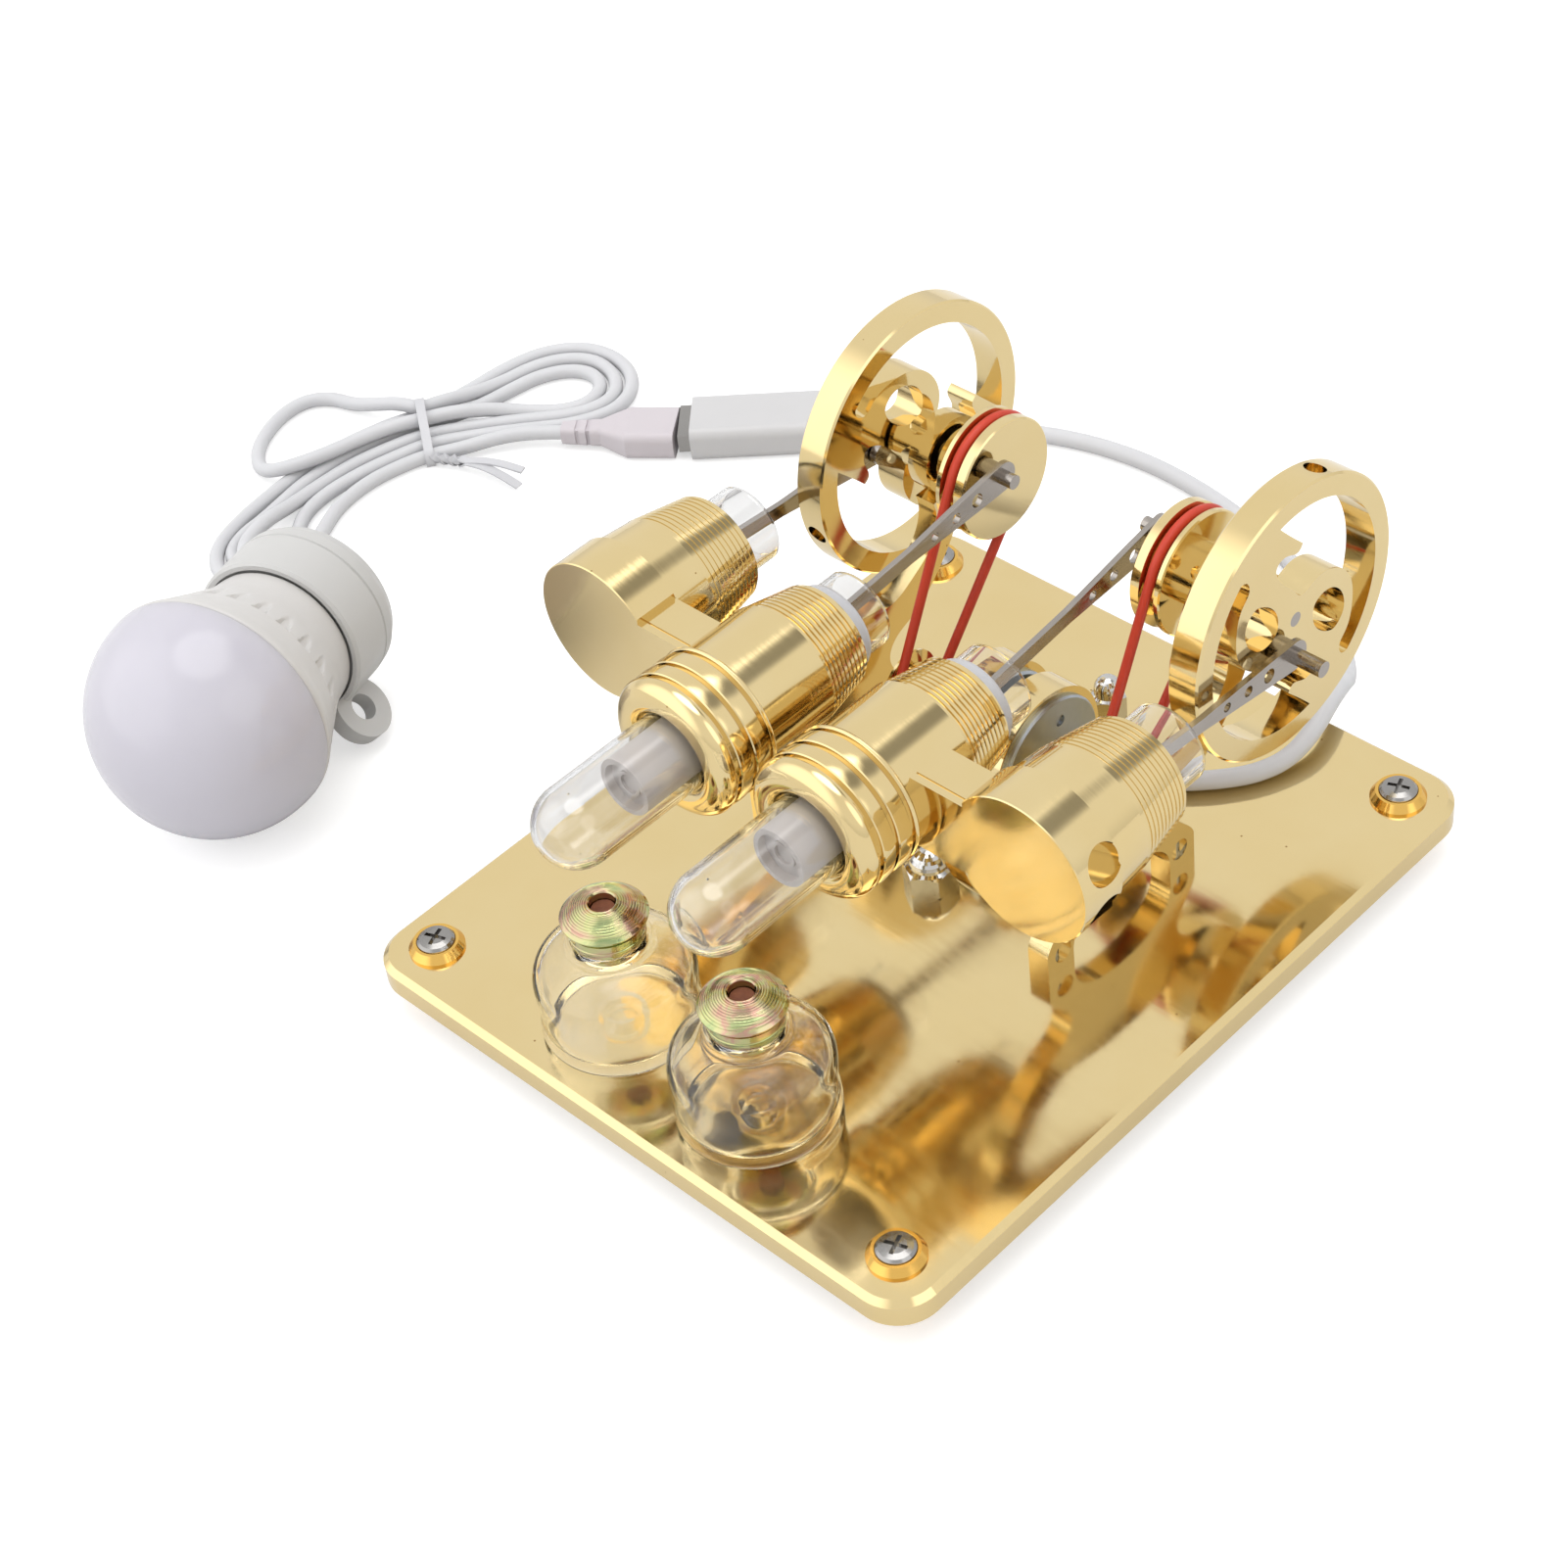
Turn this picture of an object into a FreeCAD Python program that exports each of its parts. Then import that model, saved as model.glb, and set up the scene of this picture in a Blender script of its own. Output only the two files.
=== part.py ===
import FreeCAD, Part
import math
import os

# Twin-cylinder hot-air engine model on a plate, with two generators, two spirit lamps,
# and a plug-in bulb.  Millimetres; +X runs along the front edge to the right, +Y to the
# flywheels.  The two engines are mirror images about X = 0, so most pieces are drawn on
# the right side and mirrored to the left.  Every piece is drawn about the middle of the
# plate, and moved as it is written, so that the finished part's origin is the centre of
# the underside of the front right foot, on the surface that the feet stand on.

V = FreeCAD.Vector
X_AXIS = V(1, 0, 0)
Y_AXIS = V(0, 1, 0)
Z_AXIS = V(0, 0, 1)
SIDES = (("left", -1), ("right", 1))

# ---------------------------------------------------------------- driving dimensions
PLATE_X = 140.6
PLATE_Y = 166.2
PLATE_THICK = 6.2
PLATE_CORNER_R = 9.0
PLATE_BEVEL = 1.2
FOOT_H = 7.0
FOOT_R = 5.6
TOP = FOOT_H + PLATE_THICK              # upper face of the plate
CORNER_X = 60.0                         # feet and corner screws, from the middle
CORNER_Y = 72.8
ORIGIN = V(CORNER_X, -CORNER_Y, 0)      # centre of the front right foot's underside

AXIS_Z = TOP + 52.8                     # height of every cylinder axis and of the axles
POWER_X = 51.8                          # axis of a power cylinder
DISPLACER_X = 17.2                      # axis of a displacer cylinder
AXLE_Y = 53.7

CRANK_R = 6.0
POWER_ROD_L = 52.0
DISPLACER_ROD_L = 56.0
CRANK_ANGLE = {                         # at rest, about +X from +Y towards +Z
    ("power", "left"): -135.0,
    ("power", "right"): -131.0,
    ("displacer", "left"): 131.0,
    ("displacer", "right"): 92.0,
}
ROD_THICK = 1.2
DISPLACER_ROD_X = 17.8                  # plane of a displacer rod
POWER_ROD_X = POWER_X

WHEEL_R = 28.9
WHEEL_RIM_R = 24.3                      # inside of the rim
WHEEL_IN = 42.6                         # inner and outer faces of a flywheel, along X
WHEEL_OUT = 49.3
PULLEY_IN = 20.6
PULLEY_OUT = 27.6
PULLEY_R = 12.8
BELT_X = 24.6
BELT_R = 11.9                           # belt centre line on the crank pulley
BELT_SECTION_R = 1.0
AXLE_R = 1.5

GEN_Y = 28.4                            # generator axis
GEN_Z = TOP + 14.6
GEN_R = 13.6
GEN_BELT_R = 6.3                        # belt centre line on the generator pulley

PLATE_SIDE_IN = 33.9                    # faces of a side plate, along X
PLATE_SIDE_OUT = 38.7
SIDE_MID_Y = 14.7                       # a side plate is symmetric about this line
SCREW_X = (PLATE_SIDE_IN + PLATE_SIDE_OUT) / 2
SIDE_SCREW_Y = (-3.2, 2 * SIDE_MID_Y + 3.2)

# hexagon acorn nuts: centre, distance between corners, height
NUTS = [((3.5, -0.5), 11.0, 9.0), ((0.0, 57.5), 7.6, 10.0)]

BLOCK_HALF_H = 8.0                      # block that joins the two cylinders of an engine
BLOCK_Y = (-27.0, -17.2)
BLOCK_OUT = 39.8
PORT_Y = -19.3
PORT_R = 1.8
GLAND = (-16.0, -12.0)                  # ends of a displacer shaft's gland, along Y
TUBE_R = 8.1                            # hot tube
TUBE_IN_R = 7.1
GUIDE_R = 8.15                          # glass guide tube
GUIDE_IN_R = 7.1
SLEEVE_R = 8.2                          # glass sleeve of a power cylinder
SLEEVE_IN_R = 7.2
DISPLACER_BODY_R = 13.2

WRIST_R = 0.8
POWER_PIN_R = 1.65
DISPLACER_PIN_R = 1.5

GEN_FACE = 10.5                         # outer end face of a generator can, along X
GEN_FOOT_BACK = GEN_Y + 17.4

LAMP_X = 17.7
LAMP_Y = -63.3
LAMP_NECK_TOP = 23.0                    # above the plate
LAMP_WICK_R = 2.3

RUN_GAP = 0.05                          # radial clearance of a running fit
BODY_GAP = 0.3                          # clearance between pieces that move apart

BULB_R = 26.4
BULB_CENTRE = V(-136.2, -63.4, BULB_R)
BULB_TURN = 110.7                       # plan direction from the globe to the holder
BULB_DIP = 6.0                          # and how far that axis dips towards the holder
HOLDER_END = 48.0                       # along the bulb axis from the globe's centre
HOLDER_EYE = V(-131.4, -32.8, 7.3)      # centre of the hanging eye on the holder's rim

LAMP_CORD_D = 3.4
LEAD_CORD_D = 3.9
FLOOR_LAMP = LAMP_CORD_D / 2 + 0.1      # height of a cord's centre line on the floor
FLOOR_LEAD = LEAD_CORD_D / 2 + 0.1
ON_PLATE = TOP + LEAD_CORD_D / 2 + 0.25


# ---------------------------------------------------------------- helpers
def write(node, solids):
    if not isinstance(solids, (list, tuple)):
        solids = [solids]
    clean = []
    for shape in solids:
        clean.extend(shape.Solids)
    shape = clean[0] if len(clean) == 1 else Part.makeCompound(clean)
    shape.translate(ORIGIN * -1)
    if not shape.isValid():
        print("not valid:", node)
    print(f"{node:24s} solids {len(clean)}  volume {shape.Volume:10.1f}")
    shape.exportStep(f"parts/{node}.step")


def mirrored(shape):
    return shape.mirror(V(0, 0, 0), X_AXIS)


def sided(shape, sign):
    return shape if sign > 0 else mirrored(shape)


def both(shape):
    return [mirrored(shape), shape]


def turned(profile, origin, direction):
    """Solid of revolution: profile is a closed list of (distance along, radius)."""
    points = [V(r, 0, t) for t, r in profile]
    face = Part.Face(Part.makePolygon(points + [points[0]]))
    solid = face.revolve(V(0, 0, 0), Z_AXIS, 360)
    solid.Placement = FreeCAD.Placement(origin, FreeCAD.Rotation(Z_AXIS, direction))
    if solid.Volume < 0:
        solid.reverse()
    return solid


def rod(radius, start, end):
    return Part.makeCylinder(radius, (end - start).Length, start, end - start)


def box(x0, x1, y0, y1, z0, z1):
    return Part.makeBox(x1 - x0, y1 - y0, z1 - z0, V(x0, y0, z0))


def spline_edge(points):
    curve = Part.BSplineCurve()
    curve.interpolate(points)
    return curve.toShape()


def line_edge(a, b):
    return Part.makeLine(a, b)


def ribs(start, end, r_start, r_end, pitch, depth):
    """Fine turned grooves as profile points running from start to end."""
    count = int(round((end - start) / pitch))
    step = (end - start) / count
    points = []
    for i in range(count):
        y = start + i * step
        r = r_start + (r_end - r_start) * i / count
        points += [(y + 0.05 * step, r), (y + 0.52 * step, r),
                   (y + 0.60 * step, r - depth), (y + 0.97 * step, r - depth)]
    return points


def crank_point(kind, side, x):
    angle = math.radians(CRANK_ANGLE[(kind, side)])
    sign = -1 if side == "left" else 1
    return V(sign * x, AXLE_Y + CRANK_R * math.cos(angle), AXIS_Z + CRANK_R * math.sin(angle))


def wrist_point(kind, side, x, length):
    pin = crank_point(kind, side, x)
    return V(pin.x, pin.y - math.sqrt(length ** 2 - (pin.z - AXIS_Z) ** 2), AXIS_Z)


def rounded_tube(points, radius, name):
    """Tube along straight runs joined by tangent arcs."""
    edges = []
    start = points[0]
    radii = []
    for before, corner, after in zip(points, points[1:], points[2:]):
        a = before - corner
        b = after - corner
        run = min(a.Length, b.Length)
        a.normalize()
        b.normalize()
        turn = math.pi - a.getAngle(b)
        cut = 0.45 * run
        bend_r = cut / math.tan(turn / 2)
        radii.append(bend_r)
        p, q = corner + a * cut, corner + b * cut
        middle_dir = (a + b).normalize()
        mid = corner + middle_dir * (bend_r / math.cos(turn / 2) - bend_r)
        edges.append(line_edge(start, p))
        edges.append(Part.Arc(p, mid, q).toShape())
        start = q
    edges.append(line_edge(start, points[-1]))
    length = sum(edge.Length for edge in edges)
    path = Part.Wire(edges)
    ring = Part.Wire([Part.Circle(points[0], points[1] - points[0], radius).toShape()])
    tube = path.makePipeShell([ring], True, False)
    expected = math.pi * radius ** 2 * length
    in_diameters = " ".join(f"{bend_r / (2 * radius):.1f}" for bend_r in radii)
    print(f"{name}: length {length:.1f}  bends in diameters {in_diameters}  "
          f"volume ratio {tube.Volume / expected:.4f}")
    return tube


# ---------------------------------------------------------------- plate, feet, screws
def corners():
    return [V(sx * CORNER_X, sy * CORNER_Y, 0) for sx in (-1, 1) for sy in (-1, 1)]


def base_plate():
    plate = box(-PLATE_X / 2, PLATE_X / 2, -PLATE_Y / 2, PLATE_Y / 2, FOOT_H, TOP)
    upright = [e for e in plate.Edges if abs(e.Vertexes[0].X - e.Vertexes[1].X) < 1e-6
               and abs(e.Vertexes[0].Y - e.Vertexes[1].Y) < 1e-6]
    plate = plate.makeFillet(PLATE_CORNER_R, upright)
    rim = [e for e in plate.Edges
           if e.BoundBox.ZMin > TOP - 1e-3 and e.BoundBox.ZMax < TOP + 1e-3]
    plate = plate.makeChamfer(PLATE_BEVEL, rim)
    lower = [e for e in plate.Edges if e.BoundBox.ZMax < FOOT_H + 1e-3]
    plate = plate.makeChamfer(0.5, lower)
    holes = [Part.makeCylinder(2.15, 20, V(c.x, c.y, 0)) for c in corners()]
    for x in (-SCREW_X, SCREW_X):
        for y in SIDE_SCREW_Y:
            holes.append(Part.makeCylinder(1.55, 20, V(x, y, 0)))
            holes.append(Part.makeCylinder(3.0, 3.0, V(x, y, FOOT_H - 0.01)))
    for centre, _, _ in NUTS:
        holes.append(Part.makeCylinder(2.0, 20, V(centre[0], centre[1], 0)))
    return plate.cut(holes)


def foot(centre):
    profile = [(0, 0), (0, FOOT_R - 0.6), (0.6, FOOT_R), (FOOT_H - 1.0, FOOT_R),
               (FOOT_H - 0.4, FOOT_R - 0.6), (FOOT_H, FOOT_R - 0.6), (FOOT_H, 2.0),
               (1.8, 2.0), (1.2, 0)]
    return turned(profile, V(centre.x, centre.y, 0), Z_AXIS)


def cup_washer(centre):
    profile = [(0, 2.15), (0, 5.55), (0.5, 5.55), (2.0, 4.5), (2.0, 3.9), (0.9, 2.15)]
    return turned(profile, V(centre.x, centre.y, TOP), Z_AXIS)


def corner_screw(centre):
    profile = [(-TOP + 2.0, 0), (-TOP + 2.0, 2.0), (0.9, 2.0), (1.9, 3.7), (2.2, 3.7),
               (2.7, 3.2), (3.0, 2.0), (3.1, 0)]
    screw = turned(profile, V(centre.x, centre.y, TOP), Z_AXIS)
    cross = [box(-2.2, 2.2, -0.4, 0.4, 0, 2), box(-0.4, 0.4, -2.2, 2.2, 0, 2)]
    for bar in cross:
        bar.Placement = FreeCAD.Placement(V(centre.x, centre.y, TOP + 2.0),
                                          FreeCAD.Rotation(Z_AXIS, 20))
        screw = screw.cut(bar)
    return screw


def frame_screw(x, y):
    profile = [(0, 0), (0, 2.7), (1.6, 2.7), (2.4, 1.5), (11.5, 1.5), (11.5, 0)]
    screw = turned(profile, V(x, y, FOOT_H + 0.3), Z_AXIS)
    socket = Part.makeCylinder(1.2, 1.5, V(x, y, FOOT_H))
    return screw.cut(socket)


def acorn_nut(centre, across, height):
    hexagon = Part.makePolygon([
        V(across / 2 * math.cos(math.radians(60 * i - 30)),
          across / 2 * math.sin(math.radians(60 * i - 30)), 0) for i in range(7)])
    prism = Part.Face(hexagon).extrude(V(0, 0, height))
    flat = across / 2 * math.cos(math.radians(30))
    waist = 0.55 * height
    dome_r = flat * 0.86
    profile = [(0, 0), (0, across / 2 - 0.3), (0.3, across / 2), (waist - 0.6, across / 2),
               (waist, flat), (waist + 0.4, dome_r)]
    top = height - dome_r if height - dome_r > waist + 0.4 else waist + 0.4
    steps = 8
    for i in range(steps + 1):
        t = math.pi / 2 * i / steps
        profile.append((top + (height - top) * math.sin(t), dome_r * math.cos(t)))
    nut = prism.common(turned(profile, V(0, 0, 0), Z_AXIS))
    nut = nut.fuse(Part.makeCylinder(1.95, PLATE_THICK + 1, V(0, 0, -PLATE_THICK)))
    nut.translate(V(centre[0], centre[1], TOP))
    return nut


# ---------------------------------------------------------------- side plates, bearings
def side_plate():
    """Lyre-shaped cheek: two feet, an arched gap, and two arms that sweep apart."""
    def at(y, z):
        return V(0, y, TOP + z)

    def back(y, z):
        return at(2 * SIDE_MID_Y - y, z)

    block_bottom = AXIS_Z - TOP - BLOCK_HALF_H
    outer = [(-6.9, 6.0), (-4.6, 9.6), (-1.9, 13.0), (-1.4, 16.5), (-3.8, 19.8),
             (-8.0, 21.6), (-13.2, 24.6), (-19.0, 30.2), (-23.6, 36.6), (-26.6, block_bottom)]
    inner = [(-17.4, block_bottom), (-17.8, 40.0), (-15.2, 34.8), (-10.0, 31.2),
             (-4.0, 28.6), (3.0, 29.4), (SIDE_MID_Y, 30.5)]
    arch = [(0.4, 3.0), (2.2, 7.4), (7.4, 10.6), (SIDE_MID_Y, 11.6)]

    def smooth(points):
        return spline_edge([at(*p) for p in points])

    def smooth_back(points):
        return spline_edge([back(*p) for p in reversed(points)])

    arch_full = arch + [(2 * SIDE_MID_Y - y, z) for y, z in reversed(arch[:-1])]
    top_full = inner + [(2 * SIDE_MID_Y - y, z) for y, z in reversed(inner[:-1])]
    edges = [
        line_edge(at(-6.9, 0), at(*outer[0])),
        smooth(outer),
        line_edge(at(*outer[-1]), at(*inner[0])),
        smooth(top_full),
        line_edge(back(*inner[0]), back(*outer[-1])),
        smooth_back(outer),
        line_edge(back(*outer[0]), back(-6.9, 0)),
        line_edge(back(-6.9, 0), back(0.4, 0)),
        line_edge(back(0.4, 0), back(*arch[0])),
        spline_edge([at(*p) for p in reversed(arch_full)]),
        line_edge(at(*arch[0]), at(0.4, 0)),
        line_edge(at(0.4, 0), at(-6.9, 0)),
    ]
    width = PLATE_SIDE_OUT - PLATE_SIDE_IN
    cheek = Part.Face(Part.Wire(edges)).extrude(V(width, 0, 0))
    cheek.translate(V(PLATE_SIDE_IN, 0, 0))
    boss = Part.makeCylinder(8.2, width, V(PLATE_SIDE_IN, AXLE_Y, AXIS_Z), X_AXIS)
    cheek = cheek.fuse(boss)
    cuts = [Part.makeCylinder(5.0, width + 2, V(PLATE_SIDE_IN - 1, AXLE_Y, AXIS_Z), X_AXIS)]
    for y in SIDE_SCREW_Y:
        cuts.append(Part.makeCylinder(1.5, 11.5 - PLATE_THICK + 0.3, V(SCREW_X, y, TOP)))
        centre_y = y + (0.7 if y < SIDE_MID_Y else -0.7)
        cuts.append(Part.makeCylinder(2.3, 1.2, V(PLATE_SIDE_OUT - 1.0, centre_y, TOP + 4.6), X_AXIS))
    return cheek.cut(cuts)


def bearing():
    """Flanged ball bearing in the side plate."""
    inside, outside = AXLE_R + RUN_GAP, 5.0
    profile = [(0, inside), (0, 2.3), (0.25, 2.4), (0.25, 4.1), (0, 4.2), (0, outside),
               (4.8, outside), (4.8, 4.2), (4.55, 4.1), (4.55, 2.4), (4.8, 2.3), (4.8, inside)]
    return turned(profile, V(PLATE_SIDE_IN, AXLE_Y, AXIS_Z), X_AXIS)


# ---------------------------------------------------------------- cylinders
def transfer_block():
    """Block with the port between the cylinders; a groove marks off its front cover."""
    inner, low, high = 26.0, AXIS_Z - BLOCK_HALF_H, AXIS_Z + BLOCK_HALF_H
    front, deep = BLOCK_Y[0], 0.4
    block = box(inner, BLOCK_OUT, front, BLOCK_Y[1], low, high)
    barrel = Part.makeCylinder(DISPLACER_BODY_R, 60, V(DISPLACER_X, -50, AXIS_Z), Y_AXIS)
    port = Part.makeCylinder(PORT_R, 60, V(0, PORT_Y, AXIS_Z), X_AXIS)
    grooves = [box(inner, BLOCK_OUT, front + 1.5, front + 1.9, low, low + deep),
               box(inner, BLOCK_OUT, front + 1.5, front + 1.9, high - deep, high)]
    return block.cut([barrel, port] + grooves)


def displacer_cylinder():
    groove = 0.45                       # half the width of a decorative groove
    profile = [(-43.2, 9.4), (-43.2, 11.8), (-42.9, 12.9), (-42.2, 13.8), (-41.2, 14.5)]
    for y in (-39.0, -35.1, -30.8):
        profile += [(y - groove, 14.5), (y - groove, 13.4), (y + groove, 13.4), (y + groove, 14.5)]
    profile += [(-29.5, 14.5), (-29.5, DISPLACER_BODY_R), (-13.4, DISPLACER_BODY_R)]
    profile += ribs(-13.2, -1.7, 13.1, 10.9, 1.15, 0.4)
    profile += [(-1.5, 10.6), (-1.5, GUIDE_R), (GLAND[1], GUIDE_R), (GLAND[1], 1.55),
                (GLAND[0], 1.55), (GLAND[0], TUBE_IN_R), (-22.0, TUBE_IN_R), (-22.0, TUBE_R),
                (-42.0, TUBE_R)]
    body = turned(profile, V(DISPLACER_X, 0, AXIS_Z), Y_AXIS)
    port = Part.makeCylinder(PORT_R, 30, V(DISPLACER_X, PORT_Y, AXIS_Z), X_AXIS)
    return body.cut(port)


def hot_tube():
    """Closed glass tube: straight wall and a round end."""
    end_y, wall = -66.0, TUBE_R - TUBE_IN_R
    outer = rod(TUBE_R, V(DISPLACER_X, -22, AXIS_Z), V(DISPLACER_X, end_y, AXIS_Z))
    outer = outer.fuse(Part.makeSphere(TUBE_R, V(DISPLACER_X, end_y, AXIS_Z)))
    inner = rod(TUBE_R - wall, V(DISPLACER_X, -22, AXIS_Z), V(DISPLACER_X, end_y, AXIS_Z))
    inner = inner.fuse(Part.makeSphere(TUBE_R - wall, V(DISPLACER_X, end_y, AXIS_Z)))
    return outer.cut(inner)


def guide_tube():
    profile = [(GLAND[1], GUIDE_IN_R), (GLAND[1], GUIDE_R), (7.5, GUIDE_R), (7.8, GUIDE_R - 0.3),
               (7.8, GUIDE_IN_R + 0.3), (7.5, GUIDE_IN_R)]
    return turned(profile, V(DISPLACER_X, 0, AXIS_Z), Y_AXIS)


def guide_ring():
    profile = [(-1.5, GUIDE_R), (-1.5, 9.6), (0.9, 9.2), (1.6, 8.8), (1.6, GUIDE_R)]
    return turned(profile, V(DISPLACER_X, 0, AXIS_Z), Y_AXIS)


def power_cylinder():
    profile = [(-27.0, 0), (-27.0, 14.9), (-26.8, 15.1), (-17.4, 15.1), (-17.1, 14.4),
               (-8.8, 13.7)]
    profile += ribs(-8.6, 4.8, 13.7, 11.3, 1.22, 0.4)
    profile += [(5.0, 10.8), (5.0, SLEEVE_R), (-17.0, SLEEVE_R),
                (-17.0, SLEEVE_IN_R), (-23.0, SLEEVE_IN_R), (-23.0, 0)]
    body = turned(profile, V(POWER_X, 0, AXIS_Z), Y_AXIS)
    cuts = [box(BLOCK_OUT - 10, BLOCK_OUT, -40, BLOCK_Y[1] + 0.2, AXIS_Z - 20, AXIS_Z + 20),
            Part.makeCylinder(PORT_R, 20, V(BLOCK_OUT - 12, PORT_Y, AXIS_Z), X_AXIS)]
    for angle in (19.5, -25.0):
        out = V(math.cos(math.radians(angle)), 0, math.sin(math.radians(angle)))
        mouth = V(POWER_X, -20.7, AXIS_Z) + out * 10.6
        cuts.append(Part.makeCylinder(4.0, 10, mouth, out))
    return body.cut(cuts)


def power_sleeve():
    profile = [(-17.0, SLEEVE_IN_R), (-17.0, SLEEVE_R), (13.7, SLEEVE_R), (14.0, SLEEVE_R - 0.3),
               (14.0, SLEEVE_IN_R + 0.3), (13.7, SLEEVE_IN_R)]
    return turned(profile, V(POWER_X, 0, AXIS_Z), Y_AXIS)


# ---------------------------------------------------------------- pistons and rods
def displacer(wrist):
    """Light rod with a recessed end that holds a small ring."""
    profile = [(-46.4, 0), (-46.4, 2.0), (-47.0, 2.0), (-47.0, 2.7), (-46.4, 2.7), (-46.4, 4.9),
               (-48.2, 4.9), (-48.2, 6.0), (-21.3, 6.0), (-21.0, 5.7), (-21.0, 0)]
    return turned(profile, V(math.copysign(DISPLACER_X, wrist.x), wrist.y, AXIS_Z), Y_AXIS)


def displacer_shaft(wrist):
    """Thin shaft with a crosshead that runs in the guide tube and holds the wrist pin."""
    centre = V(math.copysign(DISPLACER_X, wrist.x), wrist.y, AXIS_Z)
    shaft = rod(1.5, centre + V(0, -21, 0), centre + V(0, -2.5, 0))
    head_r = GUIDE_IN_R - RUN_GAP
    head = rod(head_r, centre + V(0, -3, 0), centre + V(0, 3, 0))
    slot = box(wrist.x - 0.95, wrist.x + 0.95, wrist.y - 1.9, wrist.y + 4, AXIS_Z - 9, AXIS_Z + 9)
    pin = rod(WRIST_R, wrist - V(4, 0, 0), wrist + V(4, 0, 0))
    return shaft.fuse(head).cut(slot).fuse(pin)


def power_piston(wrist):
    r = SLEEVE_IN_R - RUN_GAP
    profile = [(-12.0, 0), (-12.0, r - 0.3), (-11.7, r), (-9.6, r), (-9.6, r - 0.4), (-9.0, r - 0.4),
               (-9.0, r), (5.0, r), (5.0, 5.4), (-9.0, 5.4), (-9.0, 0)]
    body = turned(profile, wrist, Y_AXIS)
    pin = rod(WRIST_R, wrist - V(6, 0, 0), wrist + V(6, 0, 0))
    return body.fuse(pin)


def flat_rod(wrist, crank, length, eye_pin_r):
    """Flat steel rod: small eye at the wrist, wider pierced end with the crank eye."""
    half = ROD_THICK / 2
    small_r, eye_r = 1.5, 3.2
    shoulder, neck = length - 7.9, length - 27.0
    outline = [(0, small_r), (neck, small_r), (shoulder, 2.8), (length, eye_r),
               (length, -eye_r), (shoulder, -2.8), (neck, -small_r), (0, -small_r)]
    points = [V(-half, y, z) for y, z in outline]
    bar = Part.Face(Part.makePolygon(points + [points[0]])).extrude(V(ROD_THICK, 0, 0))
    ends = [Part.makeCylinder(small_r, ROD_THICK, V(-half, 0, 0), X_AXIS),
            Part.makeCylinder(eye_r, ROD_THICK, V(-half, length, 0), X_AXIS)]
    bar = bar.fuse(ends).removeSplitter()
    holes = [(0, WRIST_R + RUN_GAP), (length, eye_pin_r), (length - 7.9, 1.5),
             (length - 14.0, 1.15), (length - 20.2, 1.0)]
    for y, r in holes:
        bar = bar.cut(Part.makeCylinder(r, 4, V(-2, y, 0), X_AXIS))
    lift = math.degrees(math.asin((crank.z - wrist.z) / length))
    bar.Placement = FreeCAD.Placement(wrist, FreeCAD.Rotation(X_AXIS, lift))
    return bar


def crank_pin(kind, side):
    if kind == "power":
        near = POWER_ROD_X - ROD_THICK / 2
        start, end, r = near, 58.7, POWER_PIN_R
    else:
        near = DISPLACER_ROD_X + ROD_THICK / 2
        start, end, r = near, 14.5, DISPLACER_PIN_R
    return rod(r, crank_point(kind, side, start), crank_point(kind, side, end))


def crank_spacers(side):
    """Steel bosses that stand on the flywheel and on the crank pulley."""
    power_end = POWER_ROD_X - ROD_THICK / 2 - BODY_GAP
    displacer_end = DISPLACER_ROD_X + ROD_THICK / 2 + BODY_GAP
    return [rod(2.4, crank_point("power", side, WHEEL_OUT), crank_point("power", side, power_end)),
            rod(2.2, crank_point("displacer", side, PULLEY_IN),
                crank_point("displacer", side, displacer_end))]


# ---------------------------------------------------------------- wheels, pulleys, belts
def wheel_curve(points):
    return [V(0, y, z) for y, z in points]


def wheel_window():
    """One scroll-shaped window, about the wheel's centre; the other is it turned by 180."""
    rim_start = V(0, -4.6, 23.86)
    rim_end = V(0, 16.0, -18.29)
    rim_mid = V(0, 23.4, -6.55)
    lip = [(-4.6, 23.86), (-1.4, 20.2), (2.0, 16.6)]
    hook = [(2.0, 16.6), (0.5, 15.3), (-3.6, 16.6), (-5.6, 15.6), (-5.4, 13.4), (-3.4, 10.2),
            (-0.4, 6.8), (1.6, 4.6), (5.6, 5.4), (10.6, 5.0), (14.6, 2.2), (17.0, -2.0),
            (17.3, -8.0), (15.4, -13.2), (13.6, -15.4), (14.0, -17.6), (16.0, -18.29)]
    edges = [spline_edge(wheel_curve(lip)), spline_edge(wheel_curve(hook)),
             Part.Arc(rim_end, rim_mid, rim_start).toShape()]
    return Part.Face(Part.Wire(edges))


def wheel_drop():
    """One drop-shaped hole inside a scroll, about the wheel's centre."""
    points = wheel_curve([(-11.0, 10.0), (-8.0, 8.2), (-5.2, 3.2), (-5.8, 0.4), (-9.0, -0.8),
                          (-12.9, 1.2), (-14.8, 5.2), (-14.3, 8.2)])
    curve = Part.BSplineCurve()
    curve.interpolate(points, PeriodicFlag=True)
    return Part.Face(Part.Wire([curve.toShape()]))


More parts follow.
